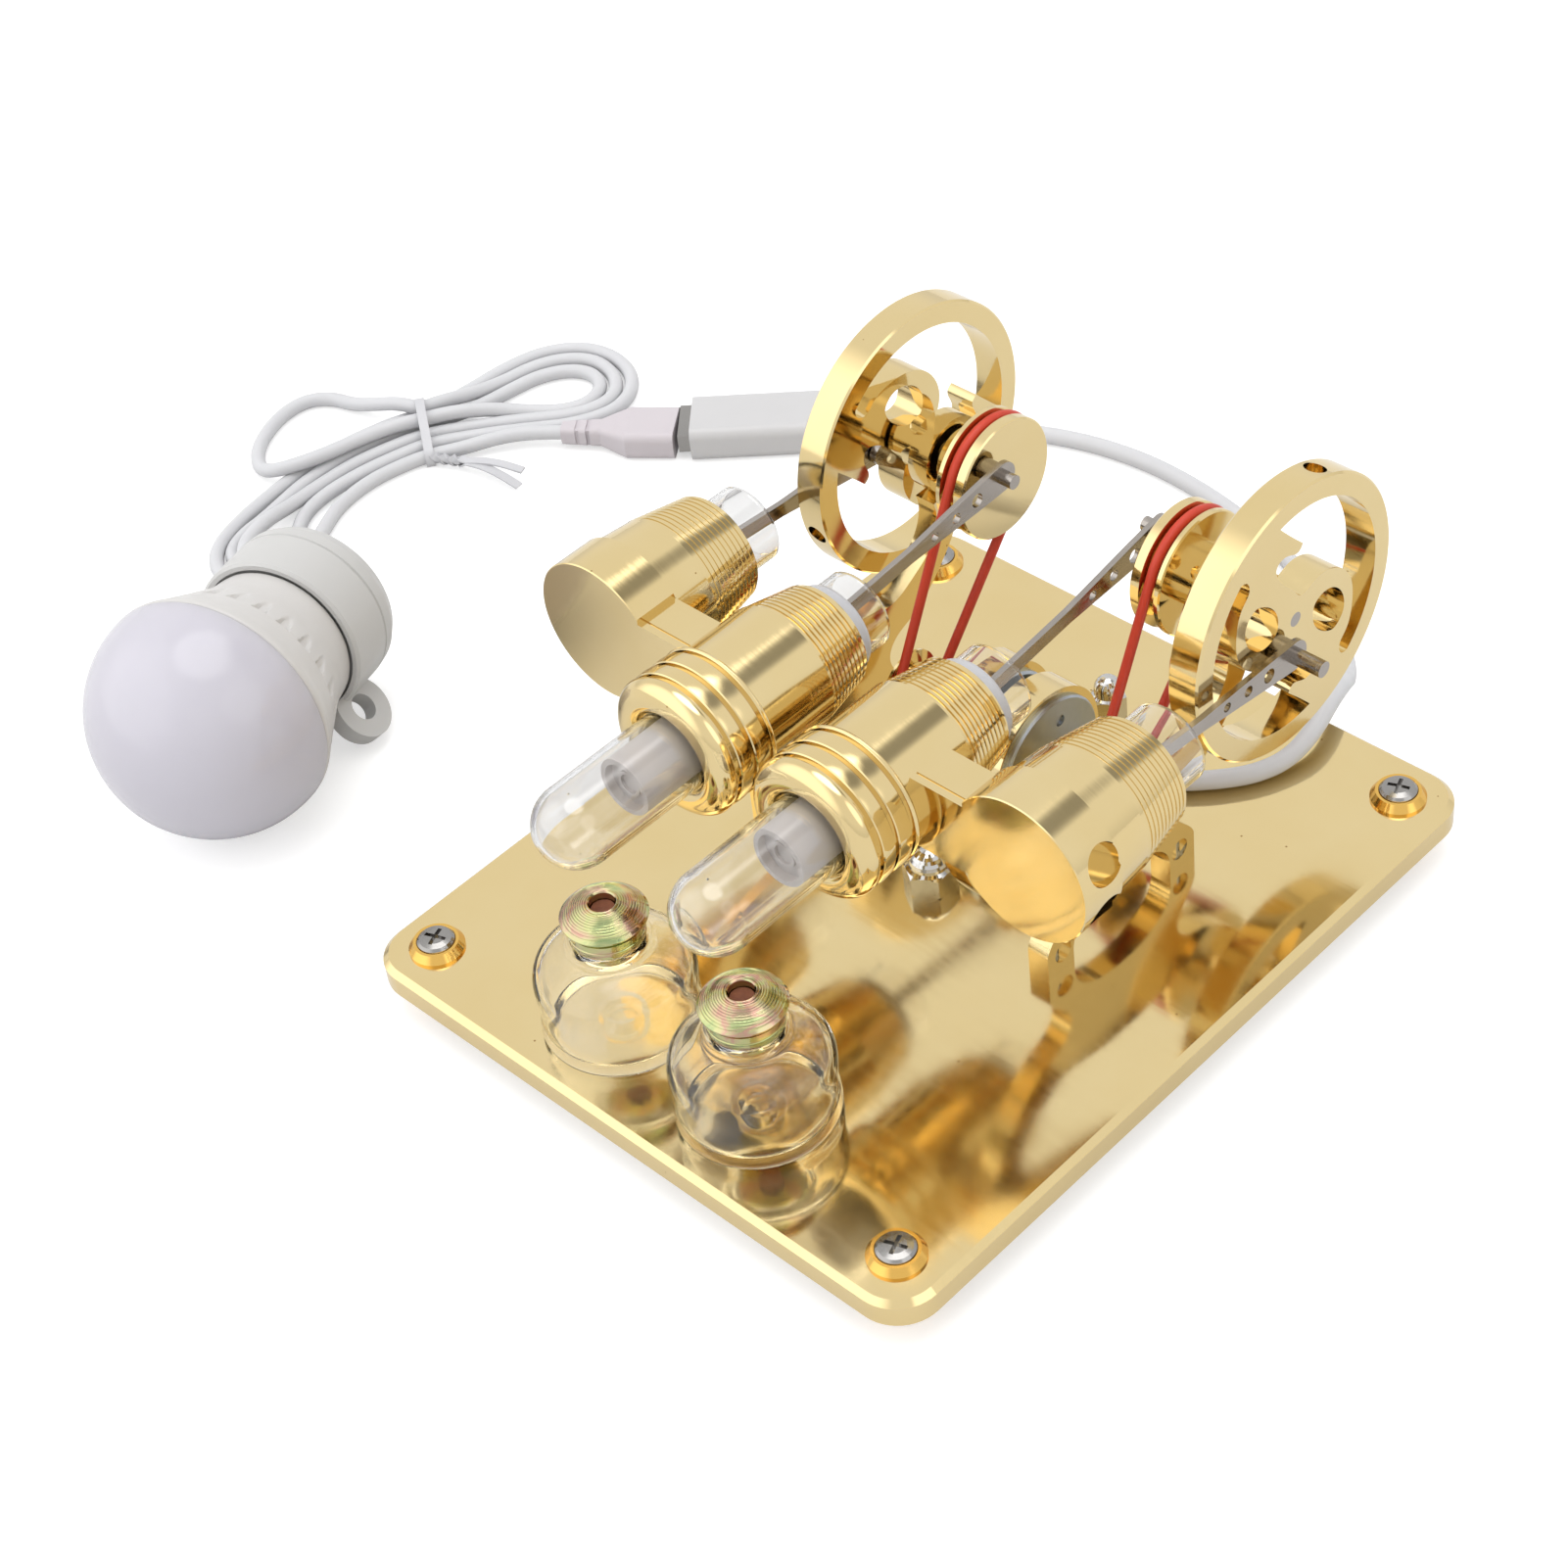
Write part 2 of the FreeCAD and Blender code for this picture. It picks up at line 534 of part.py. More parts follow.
def flywheel(side):
    """Spoked by two scrolls; the left wheel is the right one turned end for end."""
    width = WHEEL_OUT - WHEEL_IN
    profile = [(WHEEL_IN, 0), (WHEEL_IN, WHEEL_R - 0.4), (WHEEL_IN + 0.4, WHEEL_R),
               (WHEEL_OUT - 0.4, WHEEL_R), (WHEEL_OUT, WHEEL_R - 0.4), (WHEEL_OUT, 0)]
    disc = turned(profile, V(0, 0, 0), X_AXIS)
    hub = Part.makeCylinder(6.0, WHEEL_IN - 39.3, V(39.3, 0, 0), X_AXIS)
    cuts = []
    for face in (wheel_window(), wheel_drop()):
        cutter = face.extrude(V(width + 2, 0, 0))
        cutter.translate(V(WHEEL_IN - 1, 0, 0))
        cuts.append(cutter)
        opposite = cutter.copy()
        opposite.rotate(V(0, 0, 0), X_AXIS, 180)
        cuts.append(opposite)
    spoked = disc.cut(cuts)
    balance = Part.makeCylinder(2.2, 3.2, V((WHEEL_IN + WHEEL_OUT) / 2, 0, 0), Z_AXIS)
    balance.translate(V(0, 0, WHEEL_R - 3.0))
    balance.rotate(V(0, 0, 0), X_AXIS, 70 - 90)
    spoked = spoked.cut(balance)
    if side == "left":
        spoked = mirrored(spoked)
        spoked = spoked.mirror(V(0, 0, 0), Y_AXIS)
        spoked.rotate(V(0, 0, 0), X_AXIS, 86)
        hub = mirrored(hub)
    spoked = spoked.fuse(hub)
    spoked = spoked.cut(Part.makeCylinder(AXLE_R, 120, V(-60, 0, 0), X_AXIS))
    spoked.translate(V(0, AXLE_Y, AXIS_Z))
    return spoked


def axle():
    return rod(AXLE_R, V(PULLEY_IN, AXLE_Y, AXIS_Z), V(WHEEL_OUT, AXLE_Y, AXIS_Z))


def crank_pulley():
    groove_floor = BELT_R - BELT_SECTION_R - BODY_GAP
    profile = [(PULLEY_IN, AXLE_R), (PULLEY_IN, PULLEY_R - 0.3), (PULLEY_IN + 0.3, PULLEY_R),
               (BELT_X - 1.8, PULLEY_R), (BELT_X - 1.2, groove_floor), (BELT_X + 1.2, groove_floor),
               (BELT_X + 1.8, PULLEY_R), (PULLEY_OUT - 0.3, PULLEY_R), (PULLEY_OUT, PULLEY_R - 0.3),
               (PULLEY_OUT, 6.5), (32.7, 6.5), (33.0, 6.2), (33.0, AXLE_R)]
    pulley = turned(profile, V(0, AXLE_Y, AXIS_Z), X_AXIS)
    set_screw = rod(1.4, V(30.3, AXLE_Y, AXIS_Z), V(30.3, AXLE_Y - 8, AXIS_Z + 8))
    shaft = Part.makeCylinder(3.4, 40, V(10, AXLE_Y, AXIS_Z), X_AXIS)
    return pulley.cut(set_screw.cut(shaft))


def belt():
    """Round rubber belt: two straight strands and two arcs."""
    big, small = (AXLE_Y, AXIS_Z), (GEN_Y, GEN_Z)
    dy, dz = small[0] - big[0], small[1] - big[1]
    span = math.hypot(dy, dz)
    heading = math.atan2(dz, dy)
    spread = math.acos((BELT_R - GEN_BELT_R) / span)

    def on(circle, radius, angle):
        return V(BELT_X, circle[0] + radius * math.cos(angle), circle[1] + radius * math.sin(angle))

    upper, lower = heading - spread, heading + spread
    edges = [
        line_edge(on(big, BELT_R, upper), on(small, GEN_BELT_R, upper)),
        Part.Arc(on(small, GEN_BELT_R, upper), on(small, GEN_BELT_R, heading),
                 on(small, GEN_BELT_R, lower)).toShape(),
        line_edge(on(small, GEN_BELT_R, lower), on(big, BELT_R, lower)),
        Part.Arc(on(big, BELT_R, lower), on(big, BELT_R, heading + math.pi),
                 on(big, BELT_R, upper)).toShape(),
    ]
    start = on(big, BELT_R, upper)
    along = on(small, GEN_BELT_R, upper) - start
    ring = Part.Wire([Part.Circle(start, along, BELT_SECTION_R).toShape()])
    return Part.Wire(edges).makePipeShell([ring], True, False)


# ---------------------------------------------------------------- generators
def generator_can():
    profile = [(1.0, 0), (1.0, GEN_R - 0.5), (1.5, GEN_R), (GEN_FACE - 0.4, GEN_R),
               (GEN_FACE, GEN_R - 0.4), (GEN_FACE, 3.2), (GEN_FACE + 0.9, 3.2),
               (GEN_FACE + 0.9, 1.0 + RUN_GAP), (3.6, 1.0 + RUN_GAP), (3.6, 0)]
    can = turned(profile, V(0, GEN_Y, GEN_Z), X_AXIS)
    vents = []
    for angle in (70, 190, 310):
        y = GEN_Y + 8.6 * math.cos(math.radians(angle))
        z = GEN_Z + 8.6 * math.sin(math.radians(angle))
        vents.append(Part.makeCylinder(1.2, 2, V(GEN_FACE - 0.6, y, z), X_AXIS))
    return can.cut(vents)


def generator_holder():
    """Clamp ring round the can, on a flat foot that is bolted to the plate."""
    x0, x1 = 2.6, 9.4
    ring = Part.makeCylinder(GEN_R + 1.6, x1 - x0, V(x0, GEN_Y, GEN_Z), X_AXIS)
    foot_block = box(x0, x1, GEN_Y - 13.5, GEN_FOOT_BACK, TOP, TOP + 5.0)
    holder = ring.fuse(foot_block).removeSplitter()
    holder = holder.cut(Part.makeCylinder(GEN_R, 20, V(-2, GEN_Y, GEN_Z), X_AXIS))
    holder = holder.cut(box(-10, 20, 0, 60, TOP - 10, TOP))
    return holder


def holder_screw():
    """Slotted clamp screw on the upper front of a holder's ring."""
    angle = math.radians(142)
    out = V(0, math.cos(angle), math.sin(angle))
    centre = V(6.0, GEN_Y, GEN_Z) + out * (GEN_R + 1.3)
    head = rod(1.7, centre, centre + out * 1.3)
    slot = box(4.0, 8.0, -0.3, 0.3, -0.3, 0.3)
    slot.rotate(V(0, 0, 0), X_AXIS, math.degrees(angle))
    slot.translate(centre + out * 1.3)
    return head.cut(slot)


def generator_rotor():
    groove_floor = GEN_BELT_R - BELT_SECTION_R - BODY_GAP
    flange = GEN_BELT_R + 1.1
    profile = [(4.0, 0), (4.0, 1.0), (BELT_X - 2.4, 1.0), (BELT_X - 2.4, flange),
               (BELT_X - 1.8, flange), (BELT_X - 1.2, groove_floor), (BELT_X + 1.2, groove_floor),
               (BELT_X + 1.8, flange), (BELT_X + 2.4, flange), (BELT_X + 2.4, 1.0),
               (BELT_X + 3.2, 1.0), (BELT_X + 3.2, 0)]
    return turned(profile, V(0, GEN_Y, GEN_Z), X_AXIS)


# ---------------------------------------------------------------- spirit lamps
def lamp_jar():
    profile = [(0, 0), (0, 14.5), (0.4, 15.2), (1.2, 15.5), (13.6, 15.5), (15.2, 15.1),
               (16.8, 13.9), (18.2, 11.9), (19.2, 9.8), (20.0, 8.5), (20.8, 8.1), (21.3, 8.3),
               (21.8, 7.9), (22.3, 8.0), (LAMP_NECK_TOP, 7.6), (LAMP_NECK_TOP, 6.6),
               (20.2, 6.7), (18.8, 8.4), (17.4, 10.8), (16.0, 12.8), (14.8, 13.9), (13.4, 14.3),
               (2.4, 14.3), (1.6, 13.6), (1.4, 12.0), (1.4, 0)]
    return turned(profile, V(LAMP_X, LAMP_Y, TOP), Z_AXIS)


def lamp_cap():
    """Turned cap: a spigot in the neck, a waist, and a shallow dome round the wick."""
    n, wick = LAMP_NECK_TOP, LAMP_WICK_R
    profile = [(n - 2.6, wick), (n - 2.6, 5.9), (n - 2.2, 6.25), (n, 6.25), (n, 7.4),
               (n + 4.0, 7.4), (n + 4.2, 7.0), (n + 4.4, 8.0), (n + 4.7, 8.3), (n + 5.2, 8.3),
               (n + 5.6, 8.0), (n + 6.3, 7.1), (n + 7.0, 5.9), (n + 7.6, 4.6), (n + 8.1, 3.2),
               (n + 8.2, 2.8), (n + 7.8, wick)]
    return turned(profile, V(LAMP_X, LAMP_Y, TOP), Z_AXIS)


def lamp_wick():
    bottom, top = LAMP_NECK_TOP - 4.0, LAMP_NECK_TOP + 6.4
    return Part.makeCylinder(LAMP_WICK_R, top - bottom, V(LAMP_X, LAMP_Y, TOP + bottom))


# ---------------------------------------------------------------- bulb and its holder
def bulb_axis():
    turn, dip = math.radians(BULB_TURN), math.radians(BULB_DIP)
    return V(math.cos(turn) * math.cos(dip), math.sin(turn) * math.cos(dip), -math.sin(dip))


def bulb_globe():
    """Round diffuser, a shell closed against the housing."""
    wall, steps = 1.4, 16
    outer = [(-BULB_R * math.cos(math.pi / 2 * i / steps), BULB_R * math.sin(math.pi / 2 * i / steps))
             for i in range(steps + 1)]
    inner = [(t * (BULB_R - wall) / BULB_R, r * (BULB_R - wall) / BULB_R) for t, r in reversed(outer)]
    return turned(outer + inner, BULB_CENTRE, bulb_axis())


def bulb_housing():
    shell = [(0, 0), (0, 26.4), (1.2, 26.3), (2.2, 25.6), (4.0, 24.9), (8.0, 23.2), (13.0, 21.0),
             (18.0, 18.9), (22.0, 17.6), (25.7, 17.0), (26.4, 16.2), (27.0, 13.2), (29.0, 13.2)]
    thread = []
    for i in range(4):
        t = 29.4 + 3.0 * i
        thread += [(t, 12.6), (t + 0.9, 13.1), (t + 1.8, 12.6), (t + 2.4, 12.1)]
    tip = [(41.4, 11.8), (42.6, 7.0), (42.8, 4.5), (43.4, 4.2), (43.4, 0)]
    return turned(shell + thread + tip, BULB_CENTRE, bulb_axis())


def lamp_holder():
    axis = bulb_axis()
    profile = [(26.2, 17.6), (26.2, 18.6), (26.8, 19.2), (37.6, 19.2), (37.9, 18.8), (38.2, 19.2),
               (41.0, 18.9), (43.6, 17.6), (46.0, 14.6), (47.4, 10.0), (HOLDER_END, 6.0),
               (HOLDER_END, 0), (45.0, 0), (45.0, 13.6), (28.4, 13.6), (28.4, 17.6)]
    body = turned(profile, BULB_CENTRE, axis)
    root = BULB_CENTRE + axis * 29.6
    radial = HOLDER_EYE - root
    radial = (radial - axis * radial.dot(axis)).normalize()
    normal = radial.cross(axis).normalize()
    half, ring_r, hole_r = 2.0, 7.0, 3.0
    eye = rod(ring_r, HOLDER_EYE - normal * half, HOLDER_EYE + normal * half)
    inward = FreeCAD.Matrix(axis.x, -radial.x, normal.x, 0, axis.y, -radial.y, normal.y, 0,
                            axis.z, -radial.z, normal.z, 0, 0, 0, 0, 1)
    neck = box(-4.5, 4.5, 0, 7.0, -half, half).transformGeometry(inward)
    neck.translate(HOLDER_EYE)
    cuts = [rod(17.6, root - axis * 6, root - axis * 1.2),
            rod(13.6, root - axis * 6, root + axis * 15.4),
            rod(hole_r, HOLDER_EYE - normal * 10, HOLDER_EYE + normal * 10)]
    return body.fuse([eye, neck]).cut(cuts)


# ---------------------------------------------------------------- cords, plug and socket
PLUG_START = V(-171.2, 64.6, 3.6)
PLUG_TURN = 36.0                        # plan direction of the plug
PLUG_W, PLUG_H = 13.0, 7.0
SHELL_W, SHELL_H, SHELL_WALL = 12.0, 4.5, 0.4
SHELL_IN_SOCKET = 15.0
SOCKET_START = V(-146.6, 83.4, 4.3)
SOCKET_TURN = 41.0
SOCKET_W, SOCKET_H = 16.0, 8.5
SOCKET_LENGTH = 42.0

HANK_H = 7.6
HANK_OUTLINE = [
    (-193.0, -19.9), (-202.0, -18.4), (-208.8, -11.0), (-212.4, 1.0), (-214.4, 13.0), (-214.8, 26.0),
    (-213.4, 38.0), (-207.6, 50.0), (-206.2, 62.0), (-204.8, 80.0), (-200.6, 89.6), (-190.0, 96.0),
    (-178.0, 94.6), (-169.8, 88.4), (-167.4, 78.6), (-171.0, 70.0), (-181.0, 60.4), (-187.4, 50.0),
    (-191.4, 39.0), (-194.4, 26.0), (-193.4, 14.0), (-188.0, 5.4), (-184.4, -4.6), (-186.0, -14.0),
]
SIDE_LOOP = [(-207.0, 49.0), (-214.6, 45.6), (-222.4, 43.2), (-229.4, 41.8), (-233.9, 37.0),
             (-234.0, 30.4), (-231.4, 23.2), (-227.0, 16.6), (-221.2, 12.8), (-214.6, 13.2),
             (-208.6, 17.4)]


def hank():
    """Outer shape of the tied hank, with the one loop that lies out to the side."""
    curve = Part.BSplineCurve()
    curve.interpolate([V(x, y, 0.05) for x, y in HANK_OUTLINE], PeriodicFlag=True)
    bundle = Part.Face(Part.Wire([curve.toShape()])).extrude(V(0, 0, HANK_H))
    route = [V(x, y, FLOOR_LAMP) for x, y in SIDE_LOOP]
    return bundle.fuse(rounded_tube(route, LAMP_CORD_D / 2, "side loop"))


def lamp_cord_routes():
    end = BULB_CENTRE + bulb_axis() * HOLDER_END
    out = bulb_axis()
    from_holder = [end, end + out * 6.0, V(-159.3, -7.4, 18.2), V(-165.8, -4.4, 13.8),
                   V(-173.0, -5.0, 9.0), V(-179.8, -8.6, 5.2), V(-186.2, -13.2, 2.9),
                   V(-192.6, -16.8, 2.1)]
    to_plug = [V(-186.0, 56.5, 4.2), V(-180.5, 58.0, 4.0), V(-175.6, 60.7, 3.8), PLUG_START]
    return from_holder, to_plug


def along(turn, distance):
    a = math.radians(turn)
    return V(math.cos(a) * distance, math.sin(a) * distance, 0)


def placed(shape, origin, turn):
    shape.Placement = FreeCAD.Placement(origin, FreeCAD.Rotation(Z_AXIS, turn))
    return shape


def loft_block(sections):
    """Solid through rounded rectangles: (x, width, height) along local X."""
    wires = []
    for x, width, height in sections:
        r = 0.28 * min(width, height)
        block = Part.makeBox(1, width, height, V(x, -width / 2, -height / 2))
        edges = [e for e in block.Edges if abs(e.Vertexes[0].X - e.Vertexes[1].X) > 0.5]
        block = block.makeFillet(r, edges)
        face = min(block.Faces, key=lambda f: f.CenterOfMass.x)
        wires.append(face.OuterWire)
    return Part.makeLoft(wires, True, True)


def usb_plug():
    body = loft_block([(0, 4.6, 4.6), (9.4, 5.6, 5.2), (13.0, 9.6, 6.4), (16.0, PLUG_W, PLUG_H),
                       (27.4, PLUG_W, PLUG_H)])
    ridges = []
    for x in (3.4, 6.0):
        ring = box(x, x + 0.9, -4, 4, -4, 4).cut(box(x, x + 0.9, -2.1, 2.1, -2.1, 2.1))
        ridges.append(ring)
    body = body.cut(ridges)
    return placed(body, PLUG_START, PLUG_TURN)


def usb_shell():
    """Steel shell of the plug with its tongue; most of it is inside the socket."""
    wide, high = SHELL_W / 2, SHELL_H / 2
    inside_w, inside_h = wide - SHELL_WALL, high - SHELL_WALL
    shell = box(-3.0, SHELL_IN_SOCKET, -wide, wide, -high, high)
    shell = shell.cut(box(-1.0, SHELL_IN_SOCKET + 1, -inside_w, inside_w, -inside_h, inside_h))
    tongue = box(-2.0, SHELL_IN_SOCKET - 1.5, -inside_w, inside_w, -inside_h, 0.0)
    return placed(shell.fuse(tongue), SOCKET_START, SOCKET_TURN)


def usb_socket():
    body = loft_block([(0, SOCKET_W, SOCKET_H), (30.0, SOCKET_W, SOCKET_H), (34.0, 11.0, 7.0),
                       (38.0, 6.0, 6.0), (SOCKET_LENGTH, 5.4, 5.4)])
    wide, high = SHELL_W / 2, SHELL_H / 2
    cavity = box(-1, SHELL_IN_SOCKET + 0.2, -wide, wide, -high, high)
    return placed(body.cut(cavity), SOCKET_START, SOCKET_TURN)


def lead_cord_route():
    start = SOCKET_START + along(SOCKET_TURN, SOCKET_LENGTH)
    end = V(9.4, 44.2, ON_PLATE)
    floor = FLOOR_LEAD
    return [start, start + along(SOCKET_TURN, 8.0) + V(0, 0, -0.9),
            V(-96.0, 124.2, floor), V(-83.0, 131.2, floor), V(-70.0, 135.8, floor),
            V(-56.0, 137.8, floor), V(-42.0, 137.2, floor), V(-28.0, 134.8, floor),
            V(-14.0, 130.8, floor), V(-1.0, 125.4, floor), V(10.6, 118.4, floor),
            V(20.6, 109.4, floor + 1.0), V(28.4, 99.4, floor + 6.5), V(33.6, 90.6, TOP + 3.2),
            V(36.6, 82.4, TOP + 6.0), V(38.6, 74.2, TOP + 4.6), V(38.4, 66.4, ON_PLATE + 0.4),
            V(35.6, 59.4, ON_PLATE), V(30.6, 53.4, ON_PLATE), V(24.2, 47.8, ON_PLATE),
            V(17.0, 44.2, ON_PLATE), end]


def twist_tie():
    """Flat tie round the hank, with its two twisted tails."""
    band = box(-10.8, 10.8, -1.2, 1.2, 0.05, HANK_H + 0.9)
    band = band.cut(box(-10.3, 10.3, -2, 2, 0.0, HANK_H + 0.35))
    band = placed(band, V(-199.3, 45.9, 0), -36.0)
    tails = []
    for turn, lift in ((14.0, 3.2), (4.0, 1.6)):
        tail = box(0, 19.0, -1.2, 1.2, 0, 0.5)
        tails.append(placed(tail, V(-190.6, 39.6 + 1.2 * lift, lift), turn))
    return [band] + tails


# ---------------------------------------------------------------- write every node
def main():
    os.makedirs("parts", exist_ok=True)
    write("base_plate", base_plate())
    write("feet", [foot(c) for c in corners()])
    write("cup_washers", [cup_washer(c) for c in corners()])
    plate_screws = [corner_screw(c) for c in corners()]
    plate_screws += [frame_screw(x, y) for x in (-SCREW_X, SCREW_X) for y in SIDE_SCREW_Y]
    write("plate_screws", plate_screws)
    write("plate_nuts", [acorn_nut(*nut) for nut in NUTS])
    write("bearings", both(bearing()))
    write("transfer_blocks", both(transfer_block()))
    write("hot_tubes", both(hot_tube()))
    write("guide_tubes", both(guide_tube()))
    write("guide_rings", both(guide_ring()))
    write("power_sleeves", both(power_sleeve()))
    write("belts", both(belt()))
    write("generator_cans", both(generator_can()))
    write("generator_holders", both(generator_holder()) + both(holder_screw()))

    for side, sign in SIDES:
        write(f"side_plate_{side}", sided(side_plate(), sign))
        write(f"displacer_cylinder_{side}", sided(displacer_cylinder(), sign))
        write(f"power_cylinder_{side}", sided(power_cylinder(), sign))

        write(f"flywheel_{side}", flywheel(side))
        write(f"axle_{side}", sided(axle(), sign))
        write(f"crank_pulley_{side}", sided(crank_pulley(), sign))
        write(f"crank_spacers_{side}", crank_spacers(side))

        wrist = wrist_point("displacer", side, DISPLACER_ROD_X, DISPLACER_ROD_L)
        crank = crank_point("displacer", side, DISPLACER_ROD_X)
        write(f"displacer_{side}", displacer(wrist))
        write(f"displacer_shaft_{side}", displacer_shaft(wrist))
        write(f"displacer_rod_{side}", flat_rod(wrist, crank, DISPLACER_ROD_L, DISPLACER_PIN_R))
        write(f"displacer_crank_pin_{side}", crank_pin("displacer", side))

        wrist = wrist_point("power", side, POWER_ROD_X, POWER_ROD_L)
        crank = crank_point("power", side, POWER_ROD_X)
        write(f"power_piston_{side}", power_piston(wrist))
        write(f"power_rod_{side}", flat_rod(wrist, crank, POWER_ROD_L, POWER_PIN_R))
        write(f"power_crank_pin_{side}", crank_pin("power", side))

        write(f"generator_rotor_{side}", sided(generator_rotor(), sign))
        write(f"lamp_jar_{side}", sided(lamp_jar(), sign))
        write(f"lamp_cap_{side}", sided(lamp_cap(), sign))
        write(f"lamp_wick_{side}", sided(lamp_wick(), sign))

    write("bulb_globe", bulb_globe())
    write("bulb_housing", bulb_housing())
    write("lamp_holder", lamp_holder())
    from_holder, to_plug = lamp_cord_routes()
    write("lamp_cord", [rounded_tube(from_holder, LAMP_CORD_D / 2, "lamp cord, holder end"),
                        rounded_tube(to_plug, LAMP_CORD_D / 2, "lamp cord, plug end")])
    write("lamp_cord_hank", hank())
    write("twist_tie", twist_tie())
    write("usb_plug", usb_plug())
    write("usb_plug_shell", usb_shell())
    write("usb_socket", usb_socket())
    write("lead_cord", rounded_tube(lead_cord_route(), LEAD_CORD_D / 2, "lead cord"))


main()
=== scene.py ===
import math

import bmesh
import bpy
from mathutils import Matrix, Vector


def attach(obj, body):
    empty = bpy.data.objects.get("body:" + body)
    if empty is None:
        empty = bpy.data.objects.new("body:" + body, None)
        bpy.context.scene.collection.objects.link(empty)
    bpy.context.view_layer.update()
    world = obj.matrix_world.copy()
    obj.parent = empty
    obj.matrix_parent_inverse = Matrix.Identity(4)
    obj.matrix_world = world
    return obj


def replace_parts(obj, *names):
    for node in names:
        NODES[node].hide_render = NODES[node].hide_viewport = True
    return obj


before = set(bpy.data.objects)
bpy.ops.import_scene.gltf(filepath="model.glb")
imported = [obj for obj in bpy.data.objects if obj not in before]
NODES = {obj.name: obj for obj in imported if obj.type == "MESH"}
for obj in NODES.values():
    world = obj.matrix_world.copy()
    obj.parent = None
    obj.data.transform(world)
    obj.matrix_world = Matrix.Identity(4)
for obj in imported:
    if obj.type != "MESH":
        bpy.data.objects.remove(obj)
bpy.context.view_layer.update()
MM = 0.001
SCENE = bpy.context.scene
CORNER_X, CORNER_Y = 60.0, 72.8           # feet, from the middle of the plate
ORIGIN = Vector((CORNER_X, -CORNER_Y, 0)) # centre of the front right foot's underside


def mm(x, y, z):
    """Point in millimetres from the middle of the plate, as a place in the scene."""
    return (Vector((x, y, z)) - ORIGIN) * MM


# ------------------------------------------------------------------ material helpers
class Shader:
    """A node material with one Principled shader and short ways to add patterns to it."""

    def __init__(self, name):
        self.material = bpy.data.materials.new(name)
        self.material.use_nodes = True
        self.tree = self.material.node_tree
        self.bsdf = self.tree.nodes["Principled BSDF"]
        self.out = self.tree.nodes["Material Output"]
        self.place = self.add("ShaderNodeTexCoord").outputs["Object"]

    def add(self, kind, **values):
        node = self.tree.nodes.new(kind)
        for key, value in values.items():
            setattr(node, key, value)
        return node

    def link(self, a, b):
        self.tree.links.new(a, b)

    def set(self, **values):
        for key, value in values.items():
            socket = self.bsdf.inputs[key.replace("_", " ")]
            socket.default_value = (*value, 1.0) if key.endswith("Color") else value
        return self

    def stretched(self, scale):
        mapping = self.add("ShaderNodeMapping")
        mapping.inputs["Scale"].default_value = scale
        self.link(self.place, mapping.inputs["Vector"])
        return mapping.outputs["Vector"]

    def noise(self, scale, detail=3.0, rough=0.5, stretch=(1, 1, 1), distortion=0.0):
        """Noise with about scale features per metre, stretched by axis."""
        node = self.add("ShaderNodeTexNoise")
        node.inputs["Scale"].default_value = scale
        node.inputs["Detail"].default_value = detail
        node.inputs["Roughness"].default_value = rough
        node.inputs["Distortion"].default_value = distortion
        self.link(self.stretched(stretch), node.inputs["Vector"])
        return node.outputs["Fac"]

    def spots(self, scale, radius):
        """1 inside small round spots, 0 between them."""
        node = self.add("ShaderNodeTexVoronoi")
        node.inputs["Scale"].default_value = scale
        self.link(self.place, node.inputs["Vector"])
        return self.ramp(node.outputs["Distance"], radius * 0.5, 1.0, radius, 0.0)

    def ramp(self, value, x0, y0, x1, y1):
        node = self.add("ShaderNodeMapRange", interpolation_type="SMOOTHSTEP")
        for key, number in zip(("From Min", "From Max", "To Min", "To Max"), (x0, x1, y0, y1)):
            node.inputs[key].default_value = number
        self.link(value, node.inputs["Value"])
        return node.outputs["Result"]

    def colours(self, value, *stops):
        node = self.add("ShaderNodeValToRGB")
        band = node.color_ramp
        while len(band.elements) < len(stops):
            band.elements.new(0.5)
        for element, (place, colour) in zip(band.elements, stops):
            element.position = place
            element.color = (*colour, 1.0)
        self.link(value, node.inputs["Fac"])
        return node.outputs["Color"]

    def mixed(self, factor, a, b):
        node = self.add("ShaderNodeMix", data_type="RGBA")
        self.link(factor, node.inputs["Factor"])
        for socket, value in ((node.inputs[6], a), (node.inputs[7], b)):
            if isinstance(value, tuple):
                socket.default_value = (*value, 1.0)
            else:
                self.link(value, socket)
        return node.outputs[2]

    def math(self, operation, a, b):
        node = self.add("ShaderNodeMath", operation=operation)
        for socket, value in zip(node.inputs, (a, b)):
            if isinstance(value, (int, float)):
                socket.default_value = value
            else:
                self.link(value, socket)
        return node.outputs["Value"]

    def colour(self, socket):
        self.link(socket, self.bsdf.inputs["Base Color"])
        return self

    def roughness(self, socket):
        self.link(socket, self.bsdf.inputs["Roughness"])
        return self

    def bump(self, height, depth, strength=1.0):
        """Height 0 to 1 stands for depth in metres; calls add up."""
        node = self.add("ShaderNodeBump")
        node.inputs["Distance"].default_value = depth
        node.inputs["Strength"].default_value = strength
        self.link(height, node.inputs["Height"])
        before = self.bsdf.inputs["Normal"].links
        if before:
            self.link(before[0].from_socket, node.inputs["Normal"])
        self.link(node.outputs["Normal"], self.bsdf.inputs["Normal"])
        return self

    def lets_light_through(self):
        """Lamps and sky light pass this glass, so what is behind it isn't in a dark shadow."""
        clear = self.add("ShaderNodeBsdfTransparent")
        path = self.add("ShaderNodeLightPath")
        mix = self.add("ShaderNodeMixShader")
        self.link(path.outputs["Is Shadow Ray"], mix.inputs["Fac"])
        self.link(self.bsdf.outputs["BSDF"], mix.inputs[1])
        self.link(clear.outputs["BSDF"], mix.inputs[2])
        self.link(mix.outputs["Shader"], self.out.inputs["Surface"])
        return self


